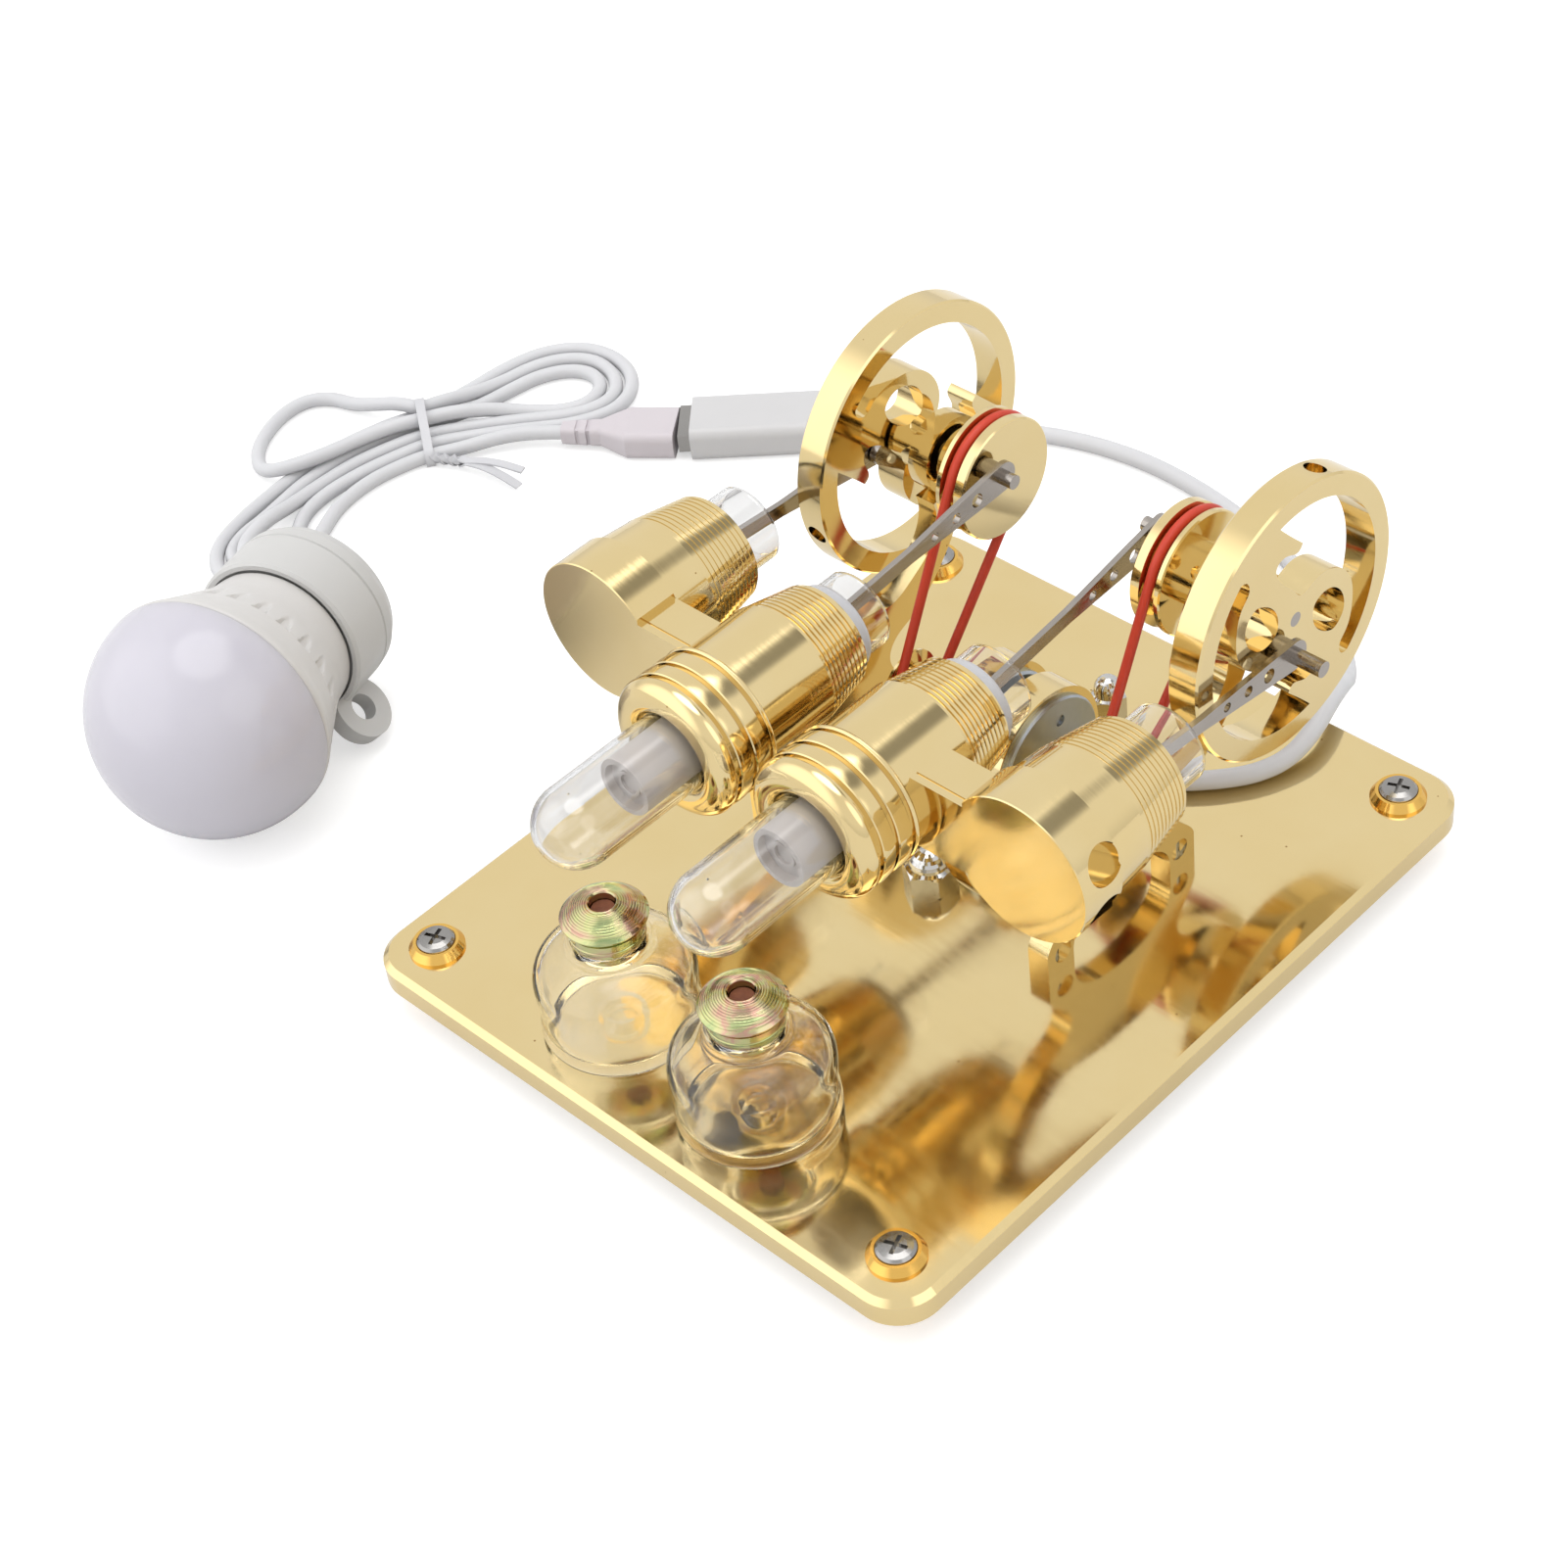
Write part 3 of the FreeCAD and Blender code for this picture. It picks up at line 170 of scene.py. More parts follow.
# ------------------------------------------------------------------ metals
# noise is stretched along an axis by a small scale: marks along it, or rings round another one
ALONG_X = (0.03, 1, 1)
ALONG_Y = (1, 0.04, 1)
ROUND_X = (1, 0.02, 0.02)
ROUND_Y = (0.02, 1, 0.02)
ROUND_Z = (0.03, 0.03, 1)
EVEN = (1, 1, 1)

GOLD_LIGHT = (0.79, 0.64, 0.35)
GOLD_DEEP = (0.75, 0.58, 0.28)
GOLD_SPECK = (0.35, 0.20, 0.06)


def gold(name, grain, grain_depth, rough, light=GOLD_LIGHT, deep=GOLD_DEEP):
    """Polished gold plating over a ground surface; grain stretches the grinding marks."""
    m = Shader(name).set(Metallic=1.0)
    tint = m.mixed(m.noise(55, 4), light, deep)
    m.colour(m.mixed(m.spots(110, 0.03), tint, GOLD_SPECK))
    smudge = m.noise(38, 5, 0.6)
    fine = m.noise(700, 2, 0.6, grain)
    m.roughness(m.ramp(m.math("ADD", smudge, m.math("MULTIPLY", fine, 0.35)),
                       0.45, rough[0], 0.95, rough[1]))
    m.bump(fine, grain_depth)
    m.bump(m.noise(45, 2), 0.00012, 0.35)
    return m.material


def metal(name, light, dark, grain, rough, grain_depth=0.000004, scale=60):
    """Bare or plated metal with fine marks along its grain and uneven gloss."""
    m = Shader(name).set(Metallic=1.0)
    m.colour(m.mixed(m.noise(scale, 5, 0.6), light, dark))
    fine = m.noise(900, 3, 0.6, grain)
    m.roughness(m.ramp(fine, 0.3, rough[0], 0.75, rough[1]))
    m.bump(fine, grain_depth)
    return m.material


def chromate(name):
    """Rainbow passivation on turned steel: olive, gold, pink and green in bands."""
    m = Shader(name).set(Metallic=1.0)
    cloud = m.noise(110, 4, 0.6, (1, 1, 1.8), 1.0)
    m.colour(m.colours(cloud, (0.32, (0.34, 0.42, 0.20)), (0.43, (0.50, 0.50, 0.24)),
                       (0.50, (0.52, 0.45, 0.26)), (0.58, (0.52, 0.31, 0.24)),
                       (0.68, (0.40, 0.45, 0.22))))
    rings = m.noise(1400, 2, 0.5, ROUND_Z)
    m.roughness(m.ramp(rings, 0.3, 0.06, 0.75, 0.17))
    m.bump(rings, 0.00002)
    return m.material


def glass(name, face, rim_shade, ior, wave=0.00003):
    """Clear glass with painted shade: its colour greys towards its outline, where the wall is seen
    edge on.
    """
    m = Shader(name).set(Transmission_Weight=1.0, IOR=ior, Coat_Weight=0.6, Coat_IOR=1.5,
                         Coat_Roughness=0.03)
    edge = m.add("ShaderNodeLayerWeight")
    edge.inputs["Blend"].default_value = 0.5
    # painted shade: the colour turns from the clear face colour to the darker rim colour where the
    # wall is seen edge on
    m.colour(m.mixed(m.ramp(edge.outputs["Facing"], 0.70, 0.0, 1.0, 1.0), face, rim_shade))
    m.roughness(m.ramp(m.noise(60, 4, 0.6), 0.5, 0.0, 0.9, 0.03))
    m.bump(m.noise(70, 2), wave, 0.6)
    return m.lets_light_through().material


def plastic(name, light, dark, rough=(0.32, 0.45), scale=45, grain=0.00001, **values):
    """Moulded plastic, rubber or cotton with slight mottling and a fine skin."""
    m = Shader(name).set(IOR=1.47, **values)
    m.colour(m.mixed(m.noise(scale, 4, 0.6), light, dark))
    m.roughness(m.ramp(m.noise(160, 3, 0.6), 0.35, rough[0], 0.7, rough[1]))
    m.bump(m.noise(1500, 3, 0.6), grain)
    return m.material


SOFT = (0.002, 0.002, 0.002)              # how far light spreads in white plastic, in metres

MATERIALS = {
    "plate": gold("gold_plate", ALONG_X, 0.0000040, (0.07, 0.15)),
    "turned": gold("gold_turned", ROUND_Y, 0.000010, (0.06, 0.14)),
    "wheel": gold("gold_wheel", (1, 0.5, 0.5), 0.000002, (0.05, 0.12)),
    "cheek": gold("gold_cheek", (1, 0.3, 0.3), 0.000003, (0.07, 0.16)),
    "pulley": gold("gold_pulley", ROUND_X, 0.000004, (0.06, 0.14)),
    "small": gold("gold_small", (0.3, 0.3, 1), 0.000004, (0.09, 0.19), (0.80, 0.51, 0.14),
                  (0.74, 0.42, 0.09)),
    "steel": metal("nickel_rod", (0.43, 0.395, 0.36), (0.33, 0.30, 0.275), ALONG_Y, (0.16, 0.30)),
    "bright": metal("chrome", (0.62, 0.61, 0.59), (0.52, 0.51, 0.50), EVEN, (0.04, 0.12)),
    "screw": metal("nickel_screw", (0.38, 0.37, 0.355), (0.27, 0.26, 0.25), EVEN,
                   (0.14, 0.26)),
    "dark": metal("dark_steel", (0.34, 0.32, 0.30), (0.22, 0.21, 0.20), ROUND_X, (0.25, 0.40)),
    "motor": metal("galvanised", (0.46, 0.49, 0.52), (0.34, 0.37, 0.40), (1, 0.4, 0.4),
                   (0.28, 0.42), 0.000008, 240),
    "chromate": chromate("chromate"),
    "glass": glass("tube_glass", (0.975, 0.975, 0.975), (0.50, 0.50, 0.50), 1.42),
    "jar": glass("jar_glass", (1.0, 1.0, 0.995), (0.93, 0.92, 0.90), 1.14, 0.00004),
    "displacer": plastic("white_displacer", (0.70, 0.645, 0.61), (0.62, 0.57, 0.54), (0.32, 0.46),
                         Transmission_Weight=0.35),
    "ring": plastic("ring_plastic", (0.50, 0.50, 0.52), (0.42, 0.42, 0.44), (0.25, 0.4)),
    "belt": plastic("belt_rubber", (0.58, 0.050, 0.018), (0.46, 0.030, 0.012), (0.35, 0.55),
                    300, 0.00002),
    "wick": plastic("wick", (0.26, 0.085, 0.035), (0.12, 0.035, 0.018), (0.6, 0.8), 700, 0.0001),
    "globe": plastic("diffuser", (0.52, 0.505, 0.555), (0.495, 0.48, 0.53), (0.09, 0.13), 20,
                     0.000003, Subsurface_Weight=0.4, Subsurface_Radius=(0.008, 0.008, 0.009),
                     Subsurface_Scale=1.0),
    "white": plastic("white_plastic", (0.58, 0.565, 0.55), (0.545, 0.53, 0.515), (0.28, 0.42), 40,
                     0.000015),
    "holder": plastic("holder_plastic", (0.52, 0.515, 0.505), (0.485, 0.48, 0.47), (0.3, 0.45), 40,
                      0.000015),
    "cable": plastic("cable_pvc", (0.57, 0.57, 0.585), (0.52, 0.52, 0.535), (0.35, 0.5), 60,
                     0.00003, Subsurface_Weight=0.1, Subsurface_Radius=SOFT,
                     Subsurface_Scale=1.0),
    "plug": plastic("plug_plastic", (0.54, 0.50, 0.525), (0.50, 0.46, 0.485), (0.3, 0.45), 60,
                    0.00002),
    "socket": plastic("socket_plastic", (0.53, 0.525, 0.53), (0.49, 0.485, 0.49), (0.3, 0.45), 60,
                      0.00002),
    "tie": plastic("tie_plastic", (0.54, 0.54, 0.56), (0.49, 0.49, 0.51), (0.3, 0.45), 200,
                   0.00003),
}


def paint(material, *names):
    """Give CAD nodes a material."""
    for name in names:
        node = NODES[name]
        if not node.material_slots:
            node.data.materials.append(MATERIALS[material])
        for slot in node.material_slots:
            slot.material = MATERIALS[material]


def sides(*names):
    """Each name for the left engine and for the right one."""
    return [f"{name}_{side}" for name in names for side in ("left", "right")]


paint("plate", "base_plate")
paint("turned", "transfer_blocks", *sides("displacer_cylinder", "power_cylinder"))
paint("wheel", *sides("flywheel"))
paint("cheek", "generator_holders", *sides("side_plate"))
paint("pulley", *sides("crank_pulley", "generator_rotor"))
paint("small", "feet", "cup_washers")
paint("steel", *sides("displacer_rod", "power_rod", "axle", "crank_spacers", "displacer_shaft",
                      "displacer_crank_pin", "power_crank_pin"))
paint("bright", "plate_nuts")
paint("screw", "plate_screws", "usb_plug_shell")
paint("dark", "bearings")
paint("motor", "generator_cans")
paint("chromate", *sides("lamp_cap"))
paint("glass", "hot_tubes", "guide_tubes", "power_sleeves")
paint("jar", *sides("lamp_jar"))
paint("displacer", *sides("displacer"))
paint("ring", "guide_rings", *sides("power_piston"))
paint("belt", "belts")
paint("wick", *sides("lamp_wick"))
paint("globe", "bulb_globe")
paint("white", "bulb_housing")
paint("holder", "lamp_holder")
paint("plug", "usb_plug")
paint("socket", "usb_socket")


# ------------------------------------------------------------------ cords
LAMP_CORD_D, LEAD_CORD_D = 3.4, 3.9
LOW, OVER = 1.8, 5.2                      # heights of a run on the floor and of one on top


def level(z, *points):
    """Points of a route that all lie at one height."""
    return [(x, y, z) for x, y in points]


HOLDER_END = (-153.07, -18.75, 21.38)
LAMP_CORD = [
    HOLDER_END, (-155.18, -13.17, 20.75), (-159.3, -7.4, 18.2), (-165.8, -4.4, 13.8),
    (-173.0, -5.0, 9.0), (-179.8, -8.6, 5.2), (-186.2, -14.2, 2.9), (-192.6, -17.8, 2.1),
    # first run up the hank, at its outer edge
    *level(LOW, (-199.8, -18.0), (-206.2, -13.0), (-209.6, -4.6), (-211.4, 5.0), (-212.6, 16.0),
           (-212.8, 28.0), (-210.9, 38.0), (-208.4, 45.6), (-205.8, 50.6)),
    # outer loop beyond the tie
    *level(LOW, (-204.6, 57.0), (-203.8, 66.0), (-203.2, 76.0), (-200.8, 85.4), (-194.4, 92.6),
           (-185.6, 94.8), (-177.0, 92.6), (-171.2, 87.2), (-169.2, 80.4), (-170.9, 74.2),
           (-174.6, 68.2), (-180.2, 62.6), (-186.0, 56.4), (-191.4, 49.8), (-196.1, 43.5)),
    # down, round the first fold and up again
    *level(LOW, (-198.2, 37.0), (-200.6, 27.0), (-201.4, 16.0), (-199.6, 8.0), (-195.4, 2.4),
           (-191.2, -3.0), (-190.8, -9.8), (-196.0, -13.8), (-202.2, -12.2), (-205.2, -6.0),
           (-205.8, 1.0), (-207.2, 8.0), (-208.8, 16.0), (-208.9, 27.0), (-206.9, 38.0),
           (-204.6, 44.0), (-202.5, 48.3)),
    # inner loop beyond the tie, back over the others
    *level(LOW, (-199.6, 54.6), (-196.9, 62.0), (-195.7, 70.4), (-194.4, 77.6), (-190.8, 83.6),
           (-185.4, 86.6), (-180.0, 85.4), (-176.9, 81.2), (-176.9, 75.6), (-180.4, 70.8)),
    (-185.6, 66.4, 2.3), (-191.2, 61.0, 3.8), (-196.6, 54.0, 5.0), (-200.9, 47.1, 5.0),
    # the short loop that lies out to the side
    (-204.6, 40.6, 5.2), (-207.4, 32.0, OVER), (-209.0, 24.0, 5.4), (-211.6, 16.6, 5.5),
    (-216.6, 12.4, 3.8), *level(LOW, (-222.4, 13.2), (-228.0, 17.4), (-232.0, 24.0), (-234.2, 31.0),
                                (-233.6, 37.8), (-229.2, 42.0)),
    (-222.4, 43.4, 2.0), (-215.4, 45.2, 4.2), (-209.6, 47.6, 5.5), (-204.2, 49.4, OVER),
    # middle loop beyond the tie
    (-202.2, 55.4, 5.0), (-200.5, 62.4, 3.4),
    *level(LOW, (-199.7, 71.0), (-198.4, 79.4), (-194.6, 86.6), (-188.0, 90.8), (-180.4, 89.8),
           (-174.8, 85.8), (-173.0, 80.8), (-174.3, 75.2), (-178.2, 69.8), (-183.9, 64.2),
           (-189.5, 58.2), (-194.8, 51.8), (-199.3, 45.9)),
    # down, over the first fold, and up to the plug
    (-202.2, 38.2, LOW), (-204.9, 27.0, LOW), (-205.0, 15.0, LOW), (-203.0, 6.6, 3.4),
    (-201.2, -1.0, 5.4), (-199.4, -8.8, OVER), (-194.6, -13.6, OVER), (-188.6, -12.6, 4.9),
    (-186.2, -6.8, 3.3), *level(LOW, (-187.6, 0.4), (-191.8, 7.6), (-195.6, 15.6), (-196.6, 26.0),
                                (-194.8, 34.8), (-192.6, 41.0)),
    (-187.8, 46.8, 2.3), (-182.4, 54.6, 3.4), (-176.9, 60.4, 3.7), (-171.2, 64.6, 3.6),
]
LEAD_LOW, LEAD_ON_PLATE = 2.05, 15.4      # heights of the lead on the floor and on the plate
SOCKET_END = (-114.90, 110.95, 4.3)
GENERATOR_END = (9.4, 44.2, LEAD_ON_PLATE)
LEAD_CORD = [
    SOCKET_END, (-108.86, 116.20, 3.4),
    *level(LEAD_LOW, (-96.0, 124.2), (-83.0, 131.2), (-70.0, 135.8), (-56.0, 137.8), (-42.0, 137.2),
           (-28.0, 134.8), (-14.0, 130.8), (-1.0, 125.4), (10.6, 118.4)),
    (20.6, 109.4, 3.05), (28.4, 99.4, 8.55), (33.6, 90.6, 16.4), (36.6, 82.4, 19.2),
    (38.6, 74.2, 17.8), (38.4, 66.4, 15.8),
    *level(LEAD_ON_PLATE, (35.6, 59.4), (30.6, 53.4), (24.2, 47.8), (17.0, 44.2)), GENERATOR_END,
]


def cord(name, points, diameter, material):
    """Smooth round cord whose NURBS control points are the route's points, in millimetres."""
    data = bpy.data.curves.new(name, "CURVE")
    data.dimensions = "3D"
    spline = data.splines.new("NURBS")
    spline.points.add(len(points) - 1)
    for point, place in zip(spline.points, points):
        point.co = (*mm(*place), 1.0)
    spline.order_u = 3
    spline.use_endpoint_u = True
    data.resolution_u = 8
    data.bevel_depth = diameter / 2 * MM
    data.bevel_resolution = 5
    data.use_fill_caps = True
    data.materials.append(material)
    obj = bpy.data.objects.new(name, data)
    SCENE.collection.objects.link(obj)
    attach(obj, "frame")
    return obj


lamp_cord = cord("lamp_cord_run", LAMP_CORD, LAMP_CORD_D, MATERIALS["cable"])
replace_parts(lamp_cord, "lamp_cord", "lamp_cord_hank")

lead_cord = cord("lead_cord_run", LEAD_CORD, LEAD_CORD_D, MATERIALS["cable"])
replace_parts(lead_cord, "lead_cord")


# ------------------------------------------------------------------ meshes made here
def mesh_piece(name, vertices, faces, material, body, smooth):
    """Object that rides on a body; edges sharper than smooth degrees stay crisp."""
    data = bpy.data.meshes.new(name)
    data.from_pydata(vertices, [], faces)
    data.validate()
    bm = bmesh.new()
    bm.from_mesh(data)
    bmesh.ops.recalc_face_normals(bm, faces=bm.faces)
    bm.to_mesh(data)
    bm.free()
    data.shade_smooth()
    data.set_sharp_from_angle(angle=math.radians(smooth))
    data.materials.append(material)
    obj = bpy.data.objects.new(name, data)
    SCENE.collection.objects.link(obj)
    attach(obj, body)
    return obj


def upright(x, y, z):
    """Frame of a piece turned about a vertical axis."""
    return Matrix.Translation(mm(x, y, z))


def lathe(name, profile, place, material, body, steps=96, smooth=30.0):
    """Turned piece; profile holds (distance along the axis, radius) in millimetres.

    A profile that starts on the axis ends on it; any other one closes on itself."""
    vertices, faces, rings = [], [], []
    for t, r in profile:
        count = steps if r else 1
        rings.append((len(vertices), count))
        for i in range(count):
            a = 2 * math.pi * i / steps
            vertices.append(place @ (Vector((r * math.cos(a), r * math.sin(a), t)) * MM))
    pairs = list(zip(rings, rings[1:]))
    if profile[0][1]:
        pairs.append((rings[-1], rings[0]))
    for (a, a_count), (b, b_count) in pairs:
        for i in range(steps):
            j = (i + 1) % steps
            corners = [a + i, a + j] if a_count > 1 else [a]
            corners += [b + j, b + i] if b_count > 1 else [b]
            faces.append(corners)
    return mesh_piece(name, vertices, faces, material, body, smooth)


def eased(points, steps=4):
    """A profile's points with a smooth curve drawn through them."""
    done = []
    for k in range(len(points) - 1):
        p = [Vector(points[min(max(k + d, 0), len(points) - 1)]) for d in (-1, 0, 1, 2)]
        for i in range(steps):
            t = i / steps
            q = (p[1] + (p[2] - p[0]) * t / 2
                 + (p[0] - p[1] * 2.5 + p[2] * 2 - p[3] * 0.5) * t * t
                 + (p[1] * 1.5 - p[0] * 0.5 - p[2] * 1.5 + p[3] * 0.5) * t ** 3)
            done.append((q.x, max(q.y, 0.0)))
    return done + [points[-1]]


def twist_tie():
    """Flat band drawn tight round the hank, twisted at its lower edge, with two flat tails."""
    centre, turn = mm(-199.3, 45.9, 0), math.radians(-36.0)
    across = Vector((math.cos(turn), math.sin(turn), 0))
    along = Vector((-math.sin(turn), math.cos(turn), 0))
    up = Vector((0, 0, 1))
    outline = [(-10.4, 0.6), (-10.7, 1.8), (-10.3, 3.4), (-8.6, 5.9), (-6.2, 7.4), (-2.0, 7.6),
               (1.4, 6.6), (4.6, 4.3), (8.2, 4.0), (10.2, 3.1), (10.7, 1.8), (10.4, 0.5),
               (6.0, 0.15), (0.0, 0.1), (-6.0, 0.15)]
    vertices, faces = [], []
    count = len(outline)
    half, thick = 1.1, 0.45
    for i, (s, z) in enumerate(outline):
        before, after = outline[i - 1], outline[(i + 1) % count]
        tangent = Vector((after[0] - before[0], after[1] - before[1])).normalized()
        normal = Vector((-tangent.y, tangent.x))
        for side, lift in ((-half, 0), (half, 0), (half, thick), (-half, thick)):
            q = Vector((s, z)) + normal * lift * (1 if z > 0.3 else 0.2)
            vertices.append(centre + (across * q.x + along * side + up * max(q.y, 0.1)) * MM)
    for i in range(count):
        a, b = 4 * i, 4 * ((i + 1) % count)
        for k in range(4):
            faces.append((a + k, b + k, b + (k + 1) % 4, a + (k + 1) % 4))

    def ribbon(points, rolls, width=2.2, thickness=0.45):
        start = len(vertices)
        for i, point in enumerate(points):
            p = Vector(point)
            q = Vector(points[min(i + 1, len(points) - 1)]) - Vector(points[max(i - 1, 0)])
            q.normalize()
            flat = q.cross(up).normalized()
            roll = Matrix.Rotation(math.radians(rolls[i]), 3, q)
            wide, deep = roll @ flat * width / 2, roll @ up * thickness / 2
            for x, y in ((-1, -1), (1, -1), (1, 1), (-1, 1)):
                vertices.append(mm(*(p + wide * x + deep * y)))
        for i in range(len(points) - 1):
            a = start + 4 * i
            for k in range(4):
                faces.append((a + k, a + 4 + k, a + 4 + (k + 1) % 4, a + (k + 1) % 4))
        faces.append(tuple(start + k for k in range(4)))
        faces.append(tuple(start + 4 * (len(points) - 1) + k for k in (3, 2, 1, 0)))

    def tail(phase, end, lift):
        """Twisted together near the band, then apart and flat."""
        root, apart = Vector((-190.3, 40.4, 2.6)), Vector((-184.2, 43.6, 2.2))
        points, rolls = [], []
        for i in range(13):
            t = i / 12
            a = 3 * math.pi * t + phase
            swing = Vector((0.225 * math.sin(a), -0.375 * math.sin(a), 0.9 * math.cos(a)))
            points.append(root.lerp(apart, t) + swing)
            rolls.append(math.degrees(phase) + 540 * t)
        flat = round(rolls[-1] / 180) * 180
        turn = flat - rolls[-1]
        for i in range(1, 9):
            t = i / 8
            rise = Vector((0, 0, lift * math.sin(math.pi * t)))
            points.append(apart.lerp(Vector(end), t) + rise)
            rolls.append(flat - turn * max(0.0, 1 - 3 * t))
        ribbon([tuple(p) for p in points], rolls)

    tail(0.0, (-166.6, 45.8, 1.6), 1.4)
    tail(math.pi, (-168.6, 49.2, 3.2), 1.2)
    return mesh_piece("twist_tie_band", vertices, faces, MATERIALS["tie"], "frame", 50)


tie = twist_tie()
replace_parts(tie, "twist_tie")


# ------------------------------------------------------------------ displacer cylinders
DISPLACER_X, AXIS_Z = 17.2, 66.0


def barrel_profile():
    """Displacer cylinder: a round lip, crowned bands, a plain barrel, fine ribs, and its bore."""
    profile = eased([(-42.0, 8.4), (-42.8, 8.9), (-43.2, 9.8), (-43.2, 11.2), (-42.9, 12.5),
                     (-42.2, 13.6), (-41.2, 14.3), (-40.2, 14.5), (-39.6, 14.3)])
    profile.append((-39.45, 13.4))
    for start, end in ((-38.55, -35.55), (-34.65, -31.25), (-30.35, -29.4)):
        profile += [(start, 13.4), (start, 14.2), (start + 0.2, 14.42), ((start + end) / 2, 14.52),
                    (end - 0.2, 14.42), (end, 14.2), (end, 13.4)]
    profile += [(-29.4, 13.2), (-13.2, 13.2)]
    ribs = 10
    for i in range(ribs):
        y, r = -13.2 + 1.15 * i, 13.1 - 0.22 * i
        profile += [(y + 0.06, r), (y + 0.74, r - 0.14), (y + 0.84, r - 0.45), (y + 1.09, r - 0.50)]
    return profile + [(-1.5, 10.6), (-1.5, 8.15), (-12.0, 8.15), (-12.0, 1.55), (-16.0, 1.55),
                      (-16.0, 7.1), (-22.0, 7.1), (-22.0, 8.1), (-41.8, 8.1)]


for side, x in (("left", -DISPLACER_X), ("right", DISPLACER_X)):
    along = Matrix.Translation(mm(x, 0.0, AXIS_Z)) @ Matrix.Rotation(math.radians(-90), 4, "X")
    barrel = lathe(f"turned_barrel_{side}", barrel_profile(), along, MATERIALS["turned"], "frame",
                   144, 32)
    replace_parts(barrel, f"displacer_cylinder_{side}")


# ------------------------------------------------------------------ knurled feet
def knurled_feet():
    """Four thumb-nut feet with a straight knurl round their rims."""
    vertices, faces = [], []
    teeth = 44
    ring = teeth * 4
    levels = [(0.0, 4.6, 0.0), (0.35, 5.2, 0.0), (0.9, 5.35, 1.0), (6.1, 5.35, 1.0), (6.6, 5.2, 0.0),
              (7.0, 4.9, 0.0)]
    for x in (-CORNER_X, CORNER_X):
        for y in (-CORNER_Y, CORNER_Y):
            start = len(vertices)
            for z, radius, cut in levels:
                for i in range(ring):
                    tooth = (0.26, 0.26, -0.12, -0.12)[i % 4] * cut
                    a = 2 * math.pi * i / ring
                    r = radius + tooth
                    vertices.append(mm(x + r * math.cos(a), y + r * math.sin(a), z))
            for k in range(len(levels) - 1):
                for i in range(ring):
                    a, b = start + k * ring + i, start + k * ring + (i + 1) % ring
                    faces.append((a, b, b + ring, a + ring))
            faces.append(tuple(start + i for i in reversed(range(ring))))
            top = start + (len(levels) - 1) * ring
            faces.append(tuple(top + i for i in range(ring)))
    return mesh_piece("knurled_feet", vertices, faces, MATERIALS["small"], "frame", 25)


feet = knurled_feet()
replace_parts(feet, "feet")


# ------------------------------------------------------------------ bulb
BULB_R = 26.4
BULB_AXIS = Vector((-0.3515, 0.9303, -0.1045)).normalized()
BULB_SIDE = BULB_AXIS.cross(Vector((0, 0, 1))).normalized()
BULB_PLACE = (Matrix.Translation(mm(-136.2, -63.4, BULB_R))
              @ Matrix((BULB_SIDE, BULB_AXIS.cross(BULB_SIDE), BULB_AXIS)).transposed().to_4x4())


def bulb_globe():
    """Frosted diffuser: half a sphere, closed by a flat face against the housing."""
    count = 48
    quarter = [math.pi / 2 * i / count for i in range(count + 1)]
    profile = [(-BULB_R * math.cos(a), BULB_R * math.sin(a)) for a in quarter]
    profile[0] = (-BULB_R, 0.0)
    profile += [(0.25, BULB_R - 0.15), (0.3, BULB_R - 1.0), (0.3, 0.0)]
    return lathe("smooth_globe", profile, BULB_PLACE, MATERIALS["globe"], "bulb",
                 160)


def bulb_housing():
    """Flared housing from the diffuser to the cap, with tapering pockets round its waist."""
    pockets, per_pocket = 24, 16
    deep, first, last = 1.3, 9.5, 15.4
    profile = eased([(0.3, 25.9), (0.9, 26.3), (2.2, 25.9), (4.0, 25.0), (6.6, 23.9)])
    profile += [(8.4, 23.05), (9.2, 22.7), (first, 22.6)]
    profile += [(first + 0.15 + 5.75 * i / 8, 22.5 - 2.45 * i / 8) for i in range(9)]
    profile += eased([(16.6, 19.5), (19.0, 18.6), (22.0, 17.8), (25.0, 17.3), (26.2, 16.9),
                      (26.8, 15.6)])
    profile += [(27.0, 13.4), (29.0, 13.2)]
    for i in range(4):
        t = 29.4 + 3.0 * i
        profile += [(t, 12.6), (t + 0.9, 13.1), (t + 1.8, 12.6), (t + 2.4, 12.1)]
    profile += [(41.4, 11.8), (42.6, 7.0), (42.8, 4.5), (43.4, 4.2)]
    steps = pockets * per_pocket
    vertices, faces = [], []
    for t, r in profile:
        along = (t - first) / (last - first)
        for i in range(steps):
            across = abs((i % per_pocket) / per_pocket - 0.5)
            cut = 0.0
            if 0 < along < 1:
                half_width = 0.30 - 0.20 * along
                cut = deep * (1 - along) * min(1.0, max(0.0, (half_width - across) / 0.07))
            a = 2 * math.pi * i / steps
            spot = Vector(((r - cut) * math.cos(a), (r - cut) * math.sin(a), t)) * MM
            vertices.append(BULB_PLACE @ spot)
    for k in range(len(profile) - 1):
        for i in range(steps):
            a, b = k * steps + i, k * steps + (i + 1) % steps
            faces.append((a, b, b + steps, a + steps))
    faces.append(tuple((len(profile) - 1) * steps + i for i in range(steps)))
    faces.append(tuple(reversed(range(steps))))
    return mesh_piece("pocketed_housing", vertices, faces, MATERIALS["white"], "bulb",
                      35)


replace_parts(bulb_globe(), "bulb_globe")
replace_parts(bulb_housing(), "bulb_housing")


# ------------------------------------------------------------------ spirit lamps
PLATE_TOP = 13.2
LAMP_X, LAMP_Y = 17.7, -63.3
NECK = 23.0                               # top of the jar's neck, above the plate


